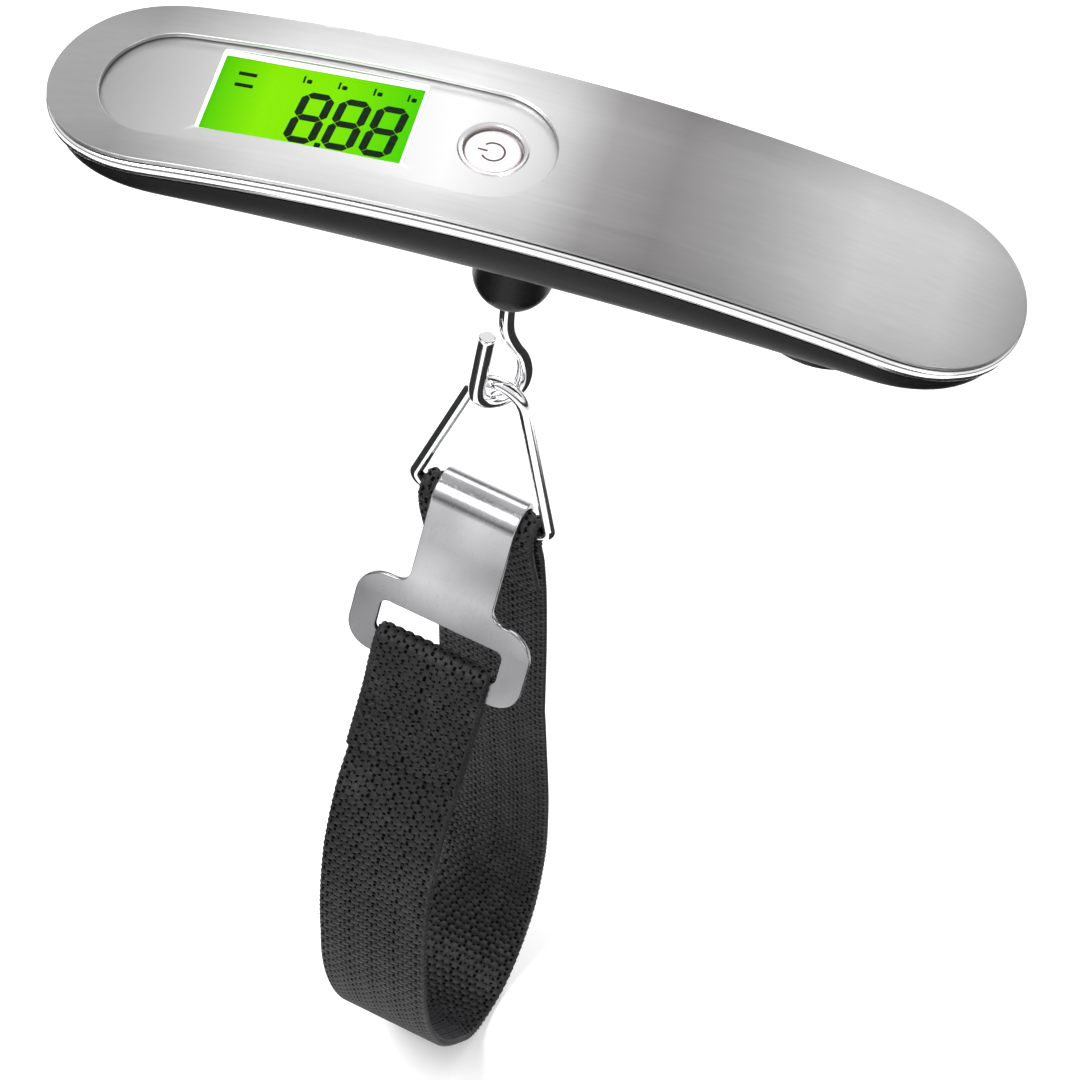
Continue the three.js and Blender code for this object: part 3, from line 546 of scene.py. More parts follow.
def smooth_line(points, step):
    """A smooth line through the points, evenly spaced. Points may have two or three numbers."""
    pts = [np.array(p, float) for p in points]
    pts = [2 * pts[0] - pts[1], *pts, 2 * pts[-1] - pts[-2]]
    line = []
    for a, b, c, d in zip(pts, pts[1:], pts[2:], pts[3:]):
        knots = [0.0]
        for p, q in ((a, b), (b, c), (c, d)):
            knots.append(knots[-1] + math.sqrt(np.linalg.norm(q - p)))
        t0, t1, t2, t3 = knots
        for t in np.linspace(t1, t2, 24, endpoint=False):
            ab = (t1 - t) / (t1 - t0) * a + (t - t0) / (t1 - t0) * b
            bc = (t2 - t) / (t2 - t1) * b + (t - t1) / (t2 - t1) * c
            cd = (t3 - t) / (t3 - t2) * c + (t - t2) / (t3 - t2) * d
            abc = (t2 - t) / (t2 - t0) * ab + (t - t0) / (t2 - t0) * bc
            bcd = (t3 - t) / (t3 - t1) * bc + (t - t1) / (t3 - t1) * cd
            line.append((t2 - t) / (t2 - t1) * abc + (t - t1) / (t2 - t1) * bcd)
    line.append(pts[-2])
    line = np.array(line)
    run = np.concatenate([[0], np.cumsum(np.linalg.norm(np.diff(line, axis=0), axis=1))])
    places = np.linspace(0, run[-1], max(2, int(round(run[-1] / step)) + 1))
    return np.stack([np.interp(places, run, line[:, k]) for k in range(line.shape[1])], axis=1)


# ---- the arched body
def arch(s, y, depth):
    radius = FACE_RADIUS - depth
    angle = s / FACE_RADIUS
    return Vector((radius * math.sin(angle), y, radius * math.cos(angle) - FACE_RADIUS)) * MM


def tangent_place(s0, y0, depth0=0.0):
    """Places points of a flat frame that touches the arch: x along it, y across, depth below it."""
    angle = s0 / FACE_RADIUS
    along = Vector((math.cos(angle), 0, -math.sin(angle)))
    out = Vector((math.sin(angle), 0, math.cos(angle)))
    origin = arch(s0, y0, depth0)
    return lambda x, y, depth: origin + (along * x + Vector((0, y, 0)) - out * depth) * MM


def end_share(s):
    past = max(0.0, abs(s) - (HALF_ARC - END_LENGTH)) / END_LENGTH
    return math.sqrt(max(0.0, 1 - min(1.0, past) ** 2.5))


def half_width(s):
    return BODY_WIDTH / 2 * (1 - SIDE_TAPER * (s / (BODY_CHORD / 2)) ** 2) * end_share(s)


def stations(reach, middle, end):
    half = [(reach - END_LENGTH) * i / middle for i in range(1, middle + 1)]
    half += [reach - END_LENGTH + END_LENGTH * math.sin(math.pi / 2 * i / end) for i in range(1, end + 1)]
    return [-s for s in reversed(half)] + [0.0] + half


def outline(grow, middle=36, end=26):
    places = stations(HALF_ARC, middle, end)
    edge = [Vector((s, -half_width(s))) for s in places]
    edge += [Vector((s, half_width(s))) for s in reversed(places[1:-1])]
    count = len(edge)
    moved = []
    for i, p in enumerate(edge):
        run = (edge[(i + 1) % count] - edge[i - 1]).normalized()
        moved.append((p.x + run.y * grow, p.y - run.x * grow))
    return moved


def stadium(x1, x2, y, half, count=28):
    right = arc(x2, y, half, -math.pi / 2, math.pi / 2, count)
    left = arc(x1, y, half, math.pi / 2, 1.5 * math.pi, count)
    return right + left


def rounded_box(x, y, half_x, half_y, r, count=6):
    corners = [(x + half_x - r, y - half_y + r, -math.pi / 2), (x + half_x - r, y + half_y - r, 0),
               (x - half_x + r, y + half_y - r, math.pi / 2), (x - half_x + r, y - half_y + r, math.pi)]
    return [p for cx, cy, a in corners for p in arc(cx, cy, r, a, a + math.pi / 2, count)]


def steps(low, high, step):
    return [low + step * i for i in range(1, int((high - low) / step))]


def make_face():
    edge = 0.14
    sides = rounded_side(0, FACE_THICK, edge)
    hole = stadium(*RECESS, RECESS_Y, RECESS_HALF + edge)
    verts, faces = sheet(outline(-edge), [hole], sides, steps(-80, 80, 2.5), arch)
    build("face_sheet", verts, faces, brushed_face(), "scale_body", ["face_plate"])


def sweep_outline(name, profile, material, stands_for=()):
    rings = [outline(grow) for grow, _ in profile]
    verts = [arch(*rings[j][i], profile[j][1]) for i in range(len(rings[0])) for j in range(len(profile))]
    faces = grid_faces(len(rings[0]), len(profile), wrap_rows=True)
    build(name, verts, faces, material, "scale_body", stands_for)


def make_rim():
    bright = [(-1.35, RIM_TOP), (-0.2, RIM_TOP), (0.15, RIM_TOP + 0.08), (0.4, RIM_TOP + 0.3),
              (0.56, RIM_TOP + 0.7), (0.62, RIM_TOP + 1.1), (0.6, RIM_TOP + 1.5), (0.45, RIM_TOP + 1.82),
              (0.2, RIM_TOP + 1.95), (-1.35, RIM_TOP + 1.95)]
    sweep_outline("rim_band", bright, chrome("rim_chrome", 0.93, 0.1), ["chrome_rim"])
    low = RIM_TOP + 2.0
    skirt = [(-1.35, low), (0.0, low), (0.12, low + 0.1), (0.1, low + 0.35), (-0.1, RIM_BOTTOM - 0.3),
             (-0.3, RIM_BOTTOM - 0.06), (-0.5, RIM_BOTTOM), (-1.35, RIM_BOTTOM)]
    sweep_outline("rim_skirt", skirt, metal("rim_grey", (0.42, 0.42, 0.43), 0.3))


def make_panel():
    edge = 0.12
    top, bottom = RIM_TOP, RIM_TOP + 0.9
    window = rounded_box(WINDOW_X, WINDOW_Y, WINDOW_LONG / 2 + edge, WINDOW_WIDE / 2 + edge, 0.7)
    button = arc(BUTTON_X, RECESS_Y, BUTTON_R + 0.35 + edge, 0, TAU * 47 / 48, 47)
    verts, faces = sheet(stadium(*RECESS, RECESS_Y, RECESS_HALF + 1 - edge), [window, button],
                         rounded_side(top, bottom, edge), steps(-74, 5, 2.5), arch)
    build("panel_sheet", verts, faces, satin_silver(), "scale_body", ["inset_panel"])


# ---- display and button
SEGMENTS = {"a": (0, 1, 0), "b": (1, 0.5, 1), "c": (1, -0.5, 1), "d": (0, -1, 0), "e": (-1, -0.5, 1),
            "f": (-1, 0.5, 1), "g": (0, 0, 0)}
DIGIT_HIGH = 11.2
DIGIT_WIDE = 5.3
STROKE = 1.3
DIGIT_LEAN = 5
DIGITS_FROM = -0.2
DIGIT_PITCH = 6.15
DIGITS_Y = -1.55
LENS_DEPTH = 2.8
SCREEN_DEPTH = 2.55


def bar_shape(length, thick):
    tip = thick / 2
    return [(-length / 2, 0), (-length / 2 + tip, tip), (length / 2 - tip, tip), (length / 2, 0),
            (length / 2 - tip, -tip), (-length / 2 + tip, -tip)]


def digit_outlines(cx, cy):
    half_x, half_y = (DIGIT_WIDE - STROKE) / 2, (DIGIT_HIGH - STROKE) / 2
    lean = math.tan(math.radians(DIGIT_LEAN))
    shapes = []
    for x, y, upright in SEGMENTS.values():
        long = (half_y if upright else 2 * half_x) - 0.18
        spots = [(-v, u) if upright else (u, v) for u, v in bar_shape(long, STROKE)]
        shape = [(x * half_x + u, y * half_y + v) for u, v in spots]
        shapes.append([(cx + u + v * lean, cy + v) for u, v in shape])
    return shapes


def flat_shapes(name, shapes, place, depth, thick, material, body):
    verts, faces = [], []
    for shape in shapes:
        start, n = len(verts), len(shape)
        verts += [place(x, y, depth - thick) for x, y in shape] + [place(x, y, depth) for x, y in shape]
        faces += [tuple(range(start, start + n)), tuple(range(start + 2 * n - 1, start + n - 1, -1))]
        sides = [(start + i, start + (i + 1) % n) for i in range(n)]
        faces += [(a, a + n, b + n, b) for a, b in sides]
    return build(name, verts, faces, material, body, smooth=20, weighted=False)


def make_display():
    place = tangent_place(WINDOW_X, WINDOW_Y)
    half_x, half_y = WINDOW_LONG / 2, WINDOW_WIDE / 2
    screen = rounded_box(0, 0, half_x + 1.1, half_y + 1.0, 0.5)
    verts, faces = sheet(screen, [], rounded_side(LENS_DEPTH, LENS_DEPTH + 1.0, 0.1), [], place)
    build("display_screen", verts, faces, lit_display(), "scale_body", ["display_lens"])
    ink = moulded("display_ink", (0.004, 0.012, 0.003), 0.6, shine=0.02)
    shapes = []
    for k in range(3):
        shapes += digit_outlines(DIGITS_FROM + DIGIT_PITCH * k, DIGITS_Y)
    shapes.append(rounded_box(2.65, -6.9, 0.5, 0.5, 0.2, 3))
    shapes += [rounded_box(-12.2, y, 1.5, 0.36, 0.1, 2) for y in (5.4, 2.9)]
    for x in (-2.6, 3.2, 9.0, 14.6):
        shapes.append(rounded_box(x - 0.55, 6.5, 0.16, 0.75, 0.05, 2))
        shapes.append(rounded_box(x + 0.35, 6.2, 0.42, 0.42, 0.2, 3))
    flat_shapes("display_digits", shapes, place, LENS_DEPTH, 0.06, ink, "scale_body")
    cover = rounded_box(0, 0, half_x + 0.25, half_y + 0.25, 0.6)
    verts, faces = sheet(cover, [], rounded_side(SCREEN_DEPTH - 0.3, SCREEN_DEPTH, 0.05), [], place)
    build("display_cover", verts, faces, clear_window(), "scale_body")
    frame_profile = [(0.3, 1.75), (0.02, 1.6), (-0.1, 1.7), (-0.62, 2.12), (-0.62, 2.2), (0.3, 2.2)]
    rings = [rounded_box(0, 0, half_x + g, half_y + g, 0.7 + max(g, -0.5)) for g, _ in frame_profile]
    verts = [place(*rings[j][i], frame_profile[j][1])
             for i in range(len(rings[0])) for j in range(len(frame_profile))]
    faces = grid_faces(len(rings[0]), len(frame_profile), wrap_rows=True)
    build("window_bevel", verts, faces, moulded("bevel_lilac", (0.78, 0.75, 0.82), 0.3), "scale_body",
          smooth=25)


def make_button():
    place = tangent_place(BUTTON_X, RECESS_Y)
    low = lambda x, y, z: place(x, y, BUTTON_TOP - z)
    top = [(0.001, -0.16), (1.4, -0.14), (2.8, -0.06), (3.5, 0.0), (4.1, -0.02), (4.4, -0.12),
           (4.56, -0.34), (BUTTON_R, -0.62), (BUTTON_R, -1.1), (BUTTON_R + 1.2, -1.1),
           (BUTTON_R + 1.2, -1.7), (1.4, -1.7), (1.4, -2.85), (0.001, -2.85)]
    verts, faces = lathe(top, 72, low)
    silicone = moulded("button_silicone", (0.62, 0.54, 0.55), 0.5, grain=1500, strength=0.08)
    build("button_cap", verts, faces, silicone, "button", ["power_button"])
    # the power mark: an open ring with a bar through its gap, which faces the display
    gap = math.radians(38)
    outer = arc(0, 0, 2.05, math.pi + gap, 3 * math.pi - gap, 36)
    inner = arc(0, 0, 1.72, 3 * math.pi - gap, math.pi + gap, 36)
    bar = [(-2.5, -0.17), (-0.9, -0.17), (-0.9, 0.17), (-2.5, 0.17)]
    strips = [[outer[i], outer[i + 1], inner[35 - i], inner[36 - i]] for i in range(36)]
    flat_shapes("power_mark", strips + [bar], place, BUTTON_TOP + 0.16, 0.09,
                moulded("mark_ink", (0.05, 0.035, 0.04), 0.5), "button")
    ring = [(BUTTON_R + 0.1, 0.0), (BUTTON_R + 0.32, -0.16), (BUTTON_R + 0.75, -0.2),
            (BUTTON_R + 0.95, 0.02), (BUTTON_R + 0.95, 0.1), (BUTTON_R + 0.1, 0.1)]
    profile = [(r + 0.2, -RIM_TOP - d) for r, d in ring]
    verts, faces = closed_lathe(profile, 72, lambda x, y, z: place(x, y, -z))
    build("button_bezel", verts, faces, metal("bezel_metal", (0.66, 0.64, 0.66), 0.25), "scale_body")


# ---- shell, collar and underside
SCREWS = [(-67, 6), (-67, -6), (70, 6), (70, -6)]


def shell_depth(s):
    return (SHELL_DEEP - SHELL_RISE * (s / SHELL_RISE_AT) ** 2) * end_share(s) ** 0.8


def belly(inset, floor, top, count):
    """Rings of the tray's outer or inner wall, from one end of the body to the other."""
    reach = HALF_ARC - inset
    rings = []
    for s in stations(reach, 30, 18):
        there = s * HALF_ARC / reach
        half = max(half_width(there) - inset * end_share(there), 0.4)
        deep = max(shell_depth(there) - floor, 0.3)
        ring = []
        for i in range(count + 1):
            t = math.pi * i / count
            y = -half * math.copysign(abs(math.cos(t)) ** 0.85, math.cos(t))
            d = top if i in (0, count) else SHELL_TOP + deep * math.sin(t) ** 0.85
            ring.append(arch(s, y, d))
        rings.append(ring)
    return rings


def loose_solid(name, verts, faces):
    """A closed mesh that is only used to cut or be cut."""
    mesh = bpy.data.meshes.new(name)
    mesh.from_pydata([tuple(v) for v in verts], [], faces)
    work = bmesh.new()
    work.from_mesh(mesh)
    bmesh.ops.recalc_face_normals(work, faces=work.faces)
    work.to_mesh(mesh)
    work.free()
    solid = bpy.data.objects.new(name, mesh)
    bpy.context.scene.collection.objects.link(solid)
    return solid


def cylinder_tool(name, s, y, depth, radius, height, steps_round=64):
    place = tangent_place(s, y, depth)
    verts = [place(radius * math.cos(TAU * i / steps_round), radius * math.sin(TAU * i / steps_round), d)
             for d in (-height / 2, height / 2) for i in range(steps_round)]
    return loose_solid(name, verts, capped(2, steps_round))


def make_shell():
    count = 40
    outer = belly(SHELL_INSET, 0, SHELL_TOP, count)
    inner = belly(SHELL_INSET + SHELL_WALL, SHELL_WALL, SHELL_TOP, count)
    across = count + 1
    rows = len(outer)
    verts = [v for ring in outer for v in ring] + [v for ring in inner for v in ring]
    shift = rows * across
    faces = [(i * across + j, (i + 1) * across + j, (i + 1) * across + j + 1, i * across + j + 1)
             for i in range(rows - 1) for j in range(count)]
    faces += [tuple(shift + k for k in reversed(f)) for f in faces]
    rim = [i * across for i in range(rows)] + [(rows - 1) * across + j for j in range(1, count)]
    rim += [i * across + count for i in range(rows - 1, -1, -1)] + list(range(count - 1, 0, -1))
    faces += [(a, shift + a, shift + b, b) for a, b in zip(rim, rim[1:] + rim[:1])]
    shell = loose_solid("shell_blank", verts, faces)
    tools = [cylinder_tool("cut_bay", BATTERY_X, 0, COVER_OUT, COVER_R + 0.3, 14, 96),
             cylinder_tool("cut_rod", ROD_X, 0, 18, ROD_R + 1, 12)]
    for s, y in SCREWS:
        tools.append(cylinder_tool("cut_screw", s, y, SHELL_TOP + shell_depth(s) + 2.6, 2.2, 10))
    for tool in tools:
        cutter = shell.modifiers.new("cut", "BOOLEAN")
        cutter.operation = "DIFFERENCE"
        cutter.object = tool
        cutter.solver = "EXACT"
    bpy.context.view_layer.update()
    done = bpy.data.meshes.new_from_object(shell.evaluated_get(bpy.context.evaluated_depsgraph_get()))
    for extra in [shell, *tools]:
        bpy.data.objects.remove(extra)
    done.materials.clear()
    black = moulded("shell_plastic", (0.004, 0.004, 0.0042), 0.4, grain=1300, strength=0.16, shine=0.09)
    finish_piece("shell_moulding", done, black, "scale_body", ["lower_shell"], smooth=32)
    make_bay_wall(black)


def belly_depth(s, y):
    """How far the tray's outer wall lies below the face's arch at this spot."""
    share = min(1.0, abs(y) / half_width(s)) ** (1 / 0.85)
    return SHELL_TOP + shell_depth(s) * (1 - share * share) ** 0.425


def make_bay_wall(material):
    place = tangent_place(BATTERY_X, 0)
    turns = 96
    verts = []
    for i in range(turns):
        a = TAU * i / turns
        foot = min(belly_depth(BATTERY_X + 13.3 * math.cos(a), 13.3 * math.sin(a)), COVER_OUT + 1.2)
        brow = max(foot, COVER_OUT - 0.15)
        ring = [(COVER_R + 0.32, 6.5), (COVER_R + 0.32, brow - 0.1), (COVER_R + 0.45, brow),
                (COVER_R + 0.8, brow),
                (COVER_R + 1.15, brow - 0.2), (COVER_R + 1.9, foot - 1.6), (COVER_R + 1.2, 6.5)]
        verts += [place(r * math.cos(a), r * math.sin(a), d) for r, d in ring]
    faces = grid_faces(turns, 7, wrap_rows=True)
    build("battery_bay_wall", verts, faces, material, "scale_body")


def make_battery_door():
    place = tangent_place(BATTERY_X, 0, COVER_OUT)
    slot = rounded_box(0, 0, 6.0, 0.9, 0.88, 8)
    disc = arc(0, 0, COVER_R - 0.2, 0, TAU * 95 / 96, 95)
    flip = lambda x, y, depth: place(x, y, -1.8 + depth)
    verts, faces = sheet(disc, [slot], rounded_side(0, 1.8, 0.2), [], flip)
    black = moulded("door_plastic", (0.005, 0.005, 0.0052), 0.45, grain=1300, strength=0.14, shine=0.1)
    build("battery_door_disc", verts, faces, black, "battery_door", ["battery_cover"])
    floor = rounded_box(0, 0, 6.3, 1.2, 1.1, 8)
    verts, faces = sheet(floor, [], rounded_side(0.25, 0.85, 0.1), [], flip)
    build("battery_door_slot_floor", verts, faces, black, "battery_door")
    marks = []
    for middle in (math.pi / 2, math.pi / 2 + 0.7, math.pi * 1.5):
        corners = [(10.2, middle + 0.05), (11.1, middle + 0.05), (11.1, middle - 0.05), (10.2, middle - 0.05)]
        marks.append([(r * math.cos(a), r * math.sin(a)) for r, a in corners])
    flat_shapes("battery_door_marks", marks, lambda x, y, d: place(x, y, -d), 0.0, 0.12,
                moulded("mark_grey", (0.3, 0.3, 0.3), 0.5), "battery_door")


def make_collar():
    top = -(SHELL_TOP + SHELL_DEEP) - 0.3
    bore = ROD_R + 0.4
    profile = [(bore, top), (COLLAR_R - 0.9, top), (COLLAR_R - 0.5, top - 0.1),
               (COLLAR_R - 0.35, top - 0.5), (COLLAR_R - 0.2, top - 3)]
    for i in range(15):
        t = math.pi / 2 * i / 14 * 0.72
        profile.append((COLLAR_R * math.cos(t), COLLAR_BALL_Z - COLLAR_R * 0.95 * math.sin(t)))
    end = profile[-1][1]
    profile += [(bore + 0.5, end - 0.5), (bore, end - 0.4)]
    place = lambda x, y, z: Vector((ROD_X + x, y, z)) * MM
    verts, faces = closed_lathe(profile, 80, place)
    rubber = moulded("collar_rubber", (0.003, 0.003, 0.0032), 0.34, grain=1100, strength=0.1, shine=0.12)
    build("collar_moulding", verts, faces, rubber, "scale_body", ["hook_collar"],
          smooth=60)


# ---- hook and ring
def hook_point(w, z):
    return Vector((ROD_X + w * math.cos(HOOK_HEADING), w * math.sin(HOOK_HEADING), z))


def make_hook():
    bend_z = HOOK_BOTTOM_Z + HOOK_BEND_R
    route = [(0, -7.0), (0, -22), (0, -32), (0, -38), (0.5, -43), (2.1, -47.2), (3.9, -50.6),
             (HOOK_BEND_W + HOOK_BEND_R - 0.1, -54.4)]
    route += [(HOOK_BEND_W + HOOK_BEND_R * math.cos(-math.pi * i / 6),
               bend_z + HOOK_BEND_R * math.sin(-math.pi * i / 6)) for i in range(7)]
    route += [(HOOK_BEND_W - HOOK_BEND_R + 0.1, -52), (HOOK_BEND_W - HOOK_BEND_R + 0.5, HOOK_TIP_Z)]
    line = smooth_line(route, 0.55)
    points = [hook_point(w, z) for w, z in line]
    ends = [1.0] * len(points)
    tip = points[-1]
    run = (points[-1] - points[-2]).normalized()
    points = points[:-1] + [tip - run * 0.3, tip - run * 0.12, tip - run * 0.02, tip]
    ends = ends[:-1] + [1.0, 0.96, 0.86, 0.8]
    plane = Vector((-math.sin(HOOK_HEADING), math.cos(HOOK_HEADING), 0))
    verts, faces = wire(points, ROD_R, plane, 36, ends=ends)
    build("hook_wire", verts, faces, chrome("hook_chrome"), "hook", ["load_hook"], smooth=50)


RING_APEX = hook_point(HOOK_BEND_W, HOOK_BOTTOM_Z + ROD_R + RING_WIRE_R + 0.9)
BAR_ALONG = Vector((math.cos(BAR_HEADING), math.sin(BAR_HEADING), 0))
BAR_FRONT = Vector((math.sin(BAR_HEADING), -math.cos(BAR_HEADING), 0))
BAR_CENTRE = Vector((RING_APEX.x, RING_APEX.y, BAR_Z))


def belt_around(circles, count):
    leaving = []
    for i, (u, v, r) in enumerate(circles):
        nu, nv, nr = circles[(i + 1) % len(circles)]
        run = Vector((nu - u, nv - v))
        leaving.append(math.atan2(run.y, run.x) - math.acos((r - nr) / run.length))
    line = []
    for i, (u, v, r) in enumerate(circles):
        start = leaving[i - 1]
        turn = (leaving[i] - start) % TAU
        line += arc(u, v, r, start, start + turn, count)
    return line


def make_ring():
    corner = RING_HALF - RING_CORNER_R
    line = belt_around([(corner, RING_CORNER_R, RING_CORNER_R),
                        (0, RING_APEX.z - BAR_Z - RING_APEX_R, RING_APEX_R),
                        (-corner, RING_CORNER_R, RING_CORNER_R)], 20)
    points = []
    for (u, v), (nu, nv) in zip(line, line[1:] + line[:1]):
        far = math.hypot(nu - u, nv - v)
        parts = 1 if far < 3 else 8
        for k in range(parts):
            rise = Vector((0, 0, v + (nv - v) * k / parts))
            points.append(BAR_CENTRE + BAR_ALONG * (u + (nu - u) * k / parts) + rise)
    verts, faces = wire(points, RING_WIRE_R, BAR_FRONT, 32, closed=True)
    build("ring_wire", verts, faces, chrome("ring_chrome"), "ring", ["triangle_ring"],
          smooth=60)
    # the butt-welded joint, half way along the bar behind the strap
    seam = [BAR_CENTRE + BAR_ALONG * (u - 0.35) for u in (0, 0.14, 0.35, 0.56, 0.7)]
    verts, faces = wire(seam, RING_WIRE_R, Vector((0, 0, 1)), 24, ends=[1.0, 1.04, 1.06, 1.04, 1.0])
    build("ring_weld", verts, faces, metal("weld_metal", (0.55, 0.55, 0.56), 0.4), "ring")


# ---- T-shaped plate
PLATE_NECK_HALF = 8
PLATE_HALF = 16.9
PLATE_SLOT_HALF = 11.8
PLATE_SLOT = (24, 31)
PLATE_LENGTH = 35.6
PLATE_LIP = 3.6


def on_bar(front, up, along):
    return (BAR_CENTRE + BAR_FRONT * front + Vector((0, 0, up)) + BAR_ALONG * along) * MM


def plate_point(down, front):
    start = (PLATE_BEND_R * math.cos(PLATE_TILT), PLATE_BEND_R * math.sin(PLATE_TILT))
    return (start[0] + down * math.sin(PLATE_TILT) + front * math.cos(PLATE_TILT),
            start[1] - down * math.cos(PLATE_TILT) + front * math.sin(PLATE_TILT))


def plate_place(down, along, depth):
    """down runs along the sheet: past 0 it goes over the bend and then down the back lip."""
    front = PLATE_THICK / 2 - depth
    if down >= 0:
        return on_bar(*plate_point(down, front), along)
    turn = -down / PLATE_BEND_R
    whole = math.pi - PLATE_TILT
    angle = PLATE_TILT + min(turn, whole)
    radius = PLATE_BEND_R + front
    drop = max(0.0, turn - whole) * PLATE_BEND_R
    return on_bar(radius * math.cos(angle), radius * math.sin(angle) - drop, along)


def tee_outline():
    neck, wide, end = PLATE_NECK_HALF, PLATE_HALF, PLATE_LENGTH
    shoulder = 19.2
    back = -(math.pi - PLATE_TILT) * PLATE_BEND_R - PLATE_LIP
    quarter = math.pi / 2
    right = [(back, neck - 1), (back + 1, neck), (0, neck)]
    right += [(shoulder - 3.2 + 2.6 * math.sin(t), neck + 2.6 - 2.6 * math.cos(t))
              for t in [quarter * i / 10 for i in range(11)]]
    right += [(shoulder + 5 - 5.6 * math.cos(t), wide - 5.6 + 5.6 * math.sin(t))
              for t in [quarter * i / 14 for i in range(15)]]
    right += [(end - 5.2 + 5.2 * math.sin(t), wide - 5.2 + 5.2 * math.cos(t))
              for t in [quarter * i / 14 for i in range(15)]]
    return right + [(d, -a) for d, a in reversed(right)]


def make_plate():
    edge = 0.26
    middle = sum(PLATE_SLOT) / 2
    slot = rounded_box(middle, 0, (PLATE_SLOT[1] - PLATE_SLOT[0]) / 2 + edge, PLATE_SLOT_HALF + edge, 1.6)
    shape = tee_outline()
    count = len(shape)
    inset = []
    for i in range(count):
        run = (Vector(shape[(i + 1) % count]) - Vector(shape[i - 1])).normalized()
        inset.append((shape[i][0] + run.y * edge, shape[i][1] - run.x * edge))
    back = shape[0][0]
    cuts = [back + 0.55 * i for i in range(1, 34)] + [2, 8, 14]
    verts, faces = sheet(inset, [slot], rounded_side(0, PLATE_THICK, edge), cuts, plate_place)
    build("tee_plate", verts, faces, satin_plate(), "strap", ["t_hook"], smooth=50)


# ---- webbing
CELL_WIDE = 1.85
CELL_LONG = 1.65
CELL_RISE = 0.46
# cell height under which a face of the webbing gets the painted shade
PAINTED_SHADE_BELOW = 0.40
CELL_SUNK = 0.26
EDGE_FROM = 0.94
COLUMNS = 77
STITCH_LONG = 1.5
STITCH_MARGIN = 1.3
STITCHES_ACROSS = 15
THREAD_R = 0.16
LOOP_ROUTE = [
    (-2.7, -7), (-4.8, -12.5), (-10, -29.8), (-20.6, -66), (-31.4, -104.3), (-39.6, -136.2),
    (-42.8, -157.5), (-40.9, -176.6), (-32.4, -188.5), (-19.8, -187.7), (-5.1, -171.8), (10, -149),
    (20.4, -124.5), (24.9, -101.1), (25.2, -80.9), (22.4, -62)]
JOIN_DOWN = 52
BACK_LEAN = -2.2
FRONT_LEAN = 1.2
STRAP_OFF_PLATE = PLATE_THICK / 2 + WRAP_GAP + STRAP_THICK / 2
STRAP_BEND_R = RING_WIRE_R + WRAP_GAP + STRAP_THICK / 2


def weave_height(along, across, fine=1.0):
    """Raised cells in staggered rows: 1 at a cell's middle, 0 between cells."""
    best = np.full(np.broadcast(along, across).shape, 9.0)
    row = np.floor(along / (CELL_LONG * fine))
    for step in (-1, 0, 1):
        here = row + step
        centre_l = (here + 0.5) * CELL_LONG * fine
        shift = np.where(here % 2 == 0, 0.0, 0.5)
        col = np.round(across / CELL_WIDE - shift) + shift
        du = (across - col * CELL_WIDE) / (CELL_WIDE * 0.51)
        dv = (along - centre_l) / (CELL_LONG * fine * 0.58)
        best = np.minimum(best, du * du + dv * dv)
    return np.sqrt(np.clip(1 - best, 0, 1))


def webbing(name, line, stands_for, fine=1.0):
    """A woven ribbon along a line in the bar's upright plane, with cells and a looped selvage."""
    line = np.array(line)
    run = np.gradient(line, axis=0)
    run /= np.linalg.norm(run, axis=1)[:, None]
    out = np.stack([-run[:, 1], run[:, 0]], axis=1)
    length = np.concatenate([[0], np.cumsum(np.linalg.norm(np.diff(line, axis=0), axis=1))])
    half = STRAP_WIDTH / 2
    flat = np.linspace(-1, 1, COLUMNS)
    thick = STRAP_THICK / 2 - CELL_SUNK
    columns = []
    for side in (1, -1):
        for u in (flat if side > 0 else flat[::-1]):
            columns.append((u, side))
    across = np.array([c[0] for c in columns])
    sign = np.array([c[1] for c in columns])
    edge = np.clip((np.abs(across) - EDGE_FROM) / (1 - EDGE_FROM), 0, 1)
    body_height = thick * np.sqrt(np.clip(1 - edge ** 2, 0.05, 1))
    al = length[:, None]
    ac = (across * half)[None, :]
    cells = weave_height(al, ac, fine) * (1 - edge)[None, :]
    loops = 0.5 + 0.5 * np.sin(TAU * al / (CELL_LONG * fine) + np.where(sign > 0, 0.0, 2.2)[None, :])
    lift = sign[None, :] * (body_height[None, :] + CELL_RISE * cells + 0.10 * edge[None, :] * loops)
    wide = ac + np.sign(ac) * edge[None, :] * (0.26 * loops - 0.12)
    front = line[:, 0][:, None] + out[:, 0][:, None] * lift
    up = line[:, 1][:, None] + out[:, 1][:, None] * lift
    base = np.array(BAR_CENTRE)
    lean = 1.0 / (1 + np.exp((line[:, 0] + 8) / 6)) * np.clip((-line[:, 1] - 25) / 60, 0, 1)
    forth = 1.0 / (1 + np.exp((8 - line[:, 0]) / 6)) * np.clip((-line[:, 1] - 78) / 30, 0, 1)
    wide = wide + (BACK_LEAN * lean + FRONT_LEAN * forth)[:, None]
    spots = (base + front[..., None] * np.array(BAR_FRONT) + up[..., None] * np.array([0, 0, 1.0])
             + wide[..., None] * np.array(BAR_ALONG)) * MM
    rows, cols = len(line), len(columns)
    piece = build(name, spots.reshape(-1, 3), capped(rows, cols), CLOTH, "strap",
                  stands_for, smooth=70, weighted=False)
    piece.data.materials.append(PAINTED_GAP_SHADE)
    # painted shade: faces low between the cells get a near-black copy of the cloth
    around = np.concatenate([cells, cells[:, :1]], axis=1)
    centre = (around[:-1, :-1] + around[1:, :-1] + around[:-1, 1:] + around[1:, 1:]) / 4
    low = (centre < PAINTED_SHADE_BELOW) & (np.abs(across)[None, :] < 0.93)
    painted_shade_slots = np.concatenate([low.ravel().astype(np.int32), np.zeros(2, np.int32)])
    piece.data.polygons.foreach_set("material_index", painted_shade_slots)
    piece.data.update()
    return piece


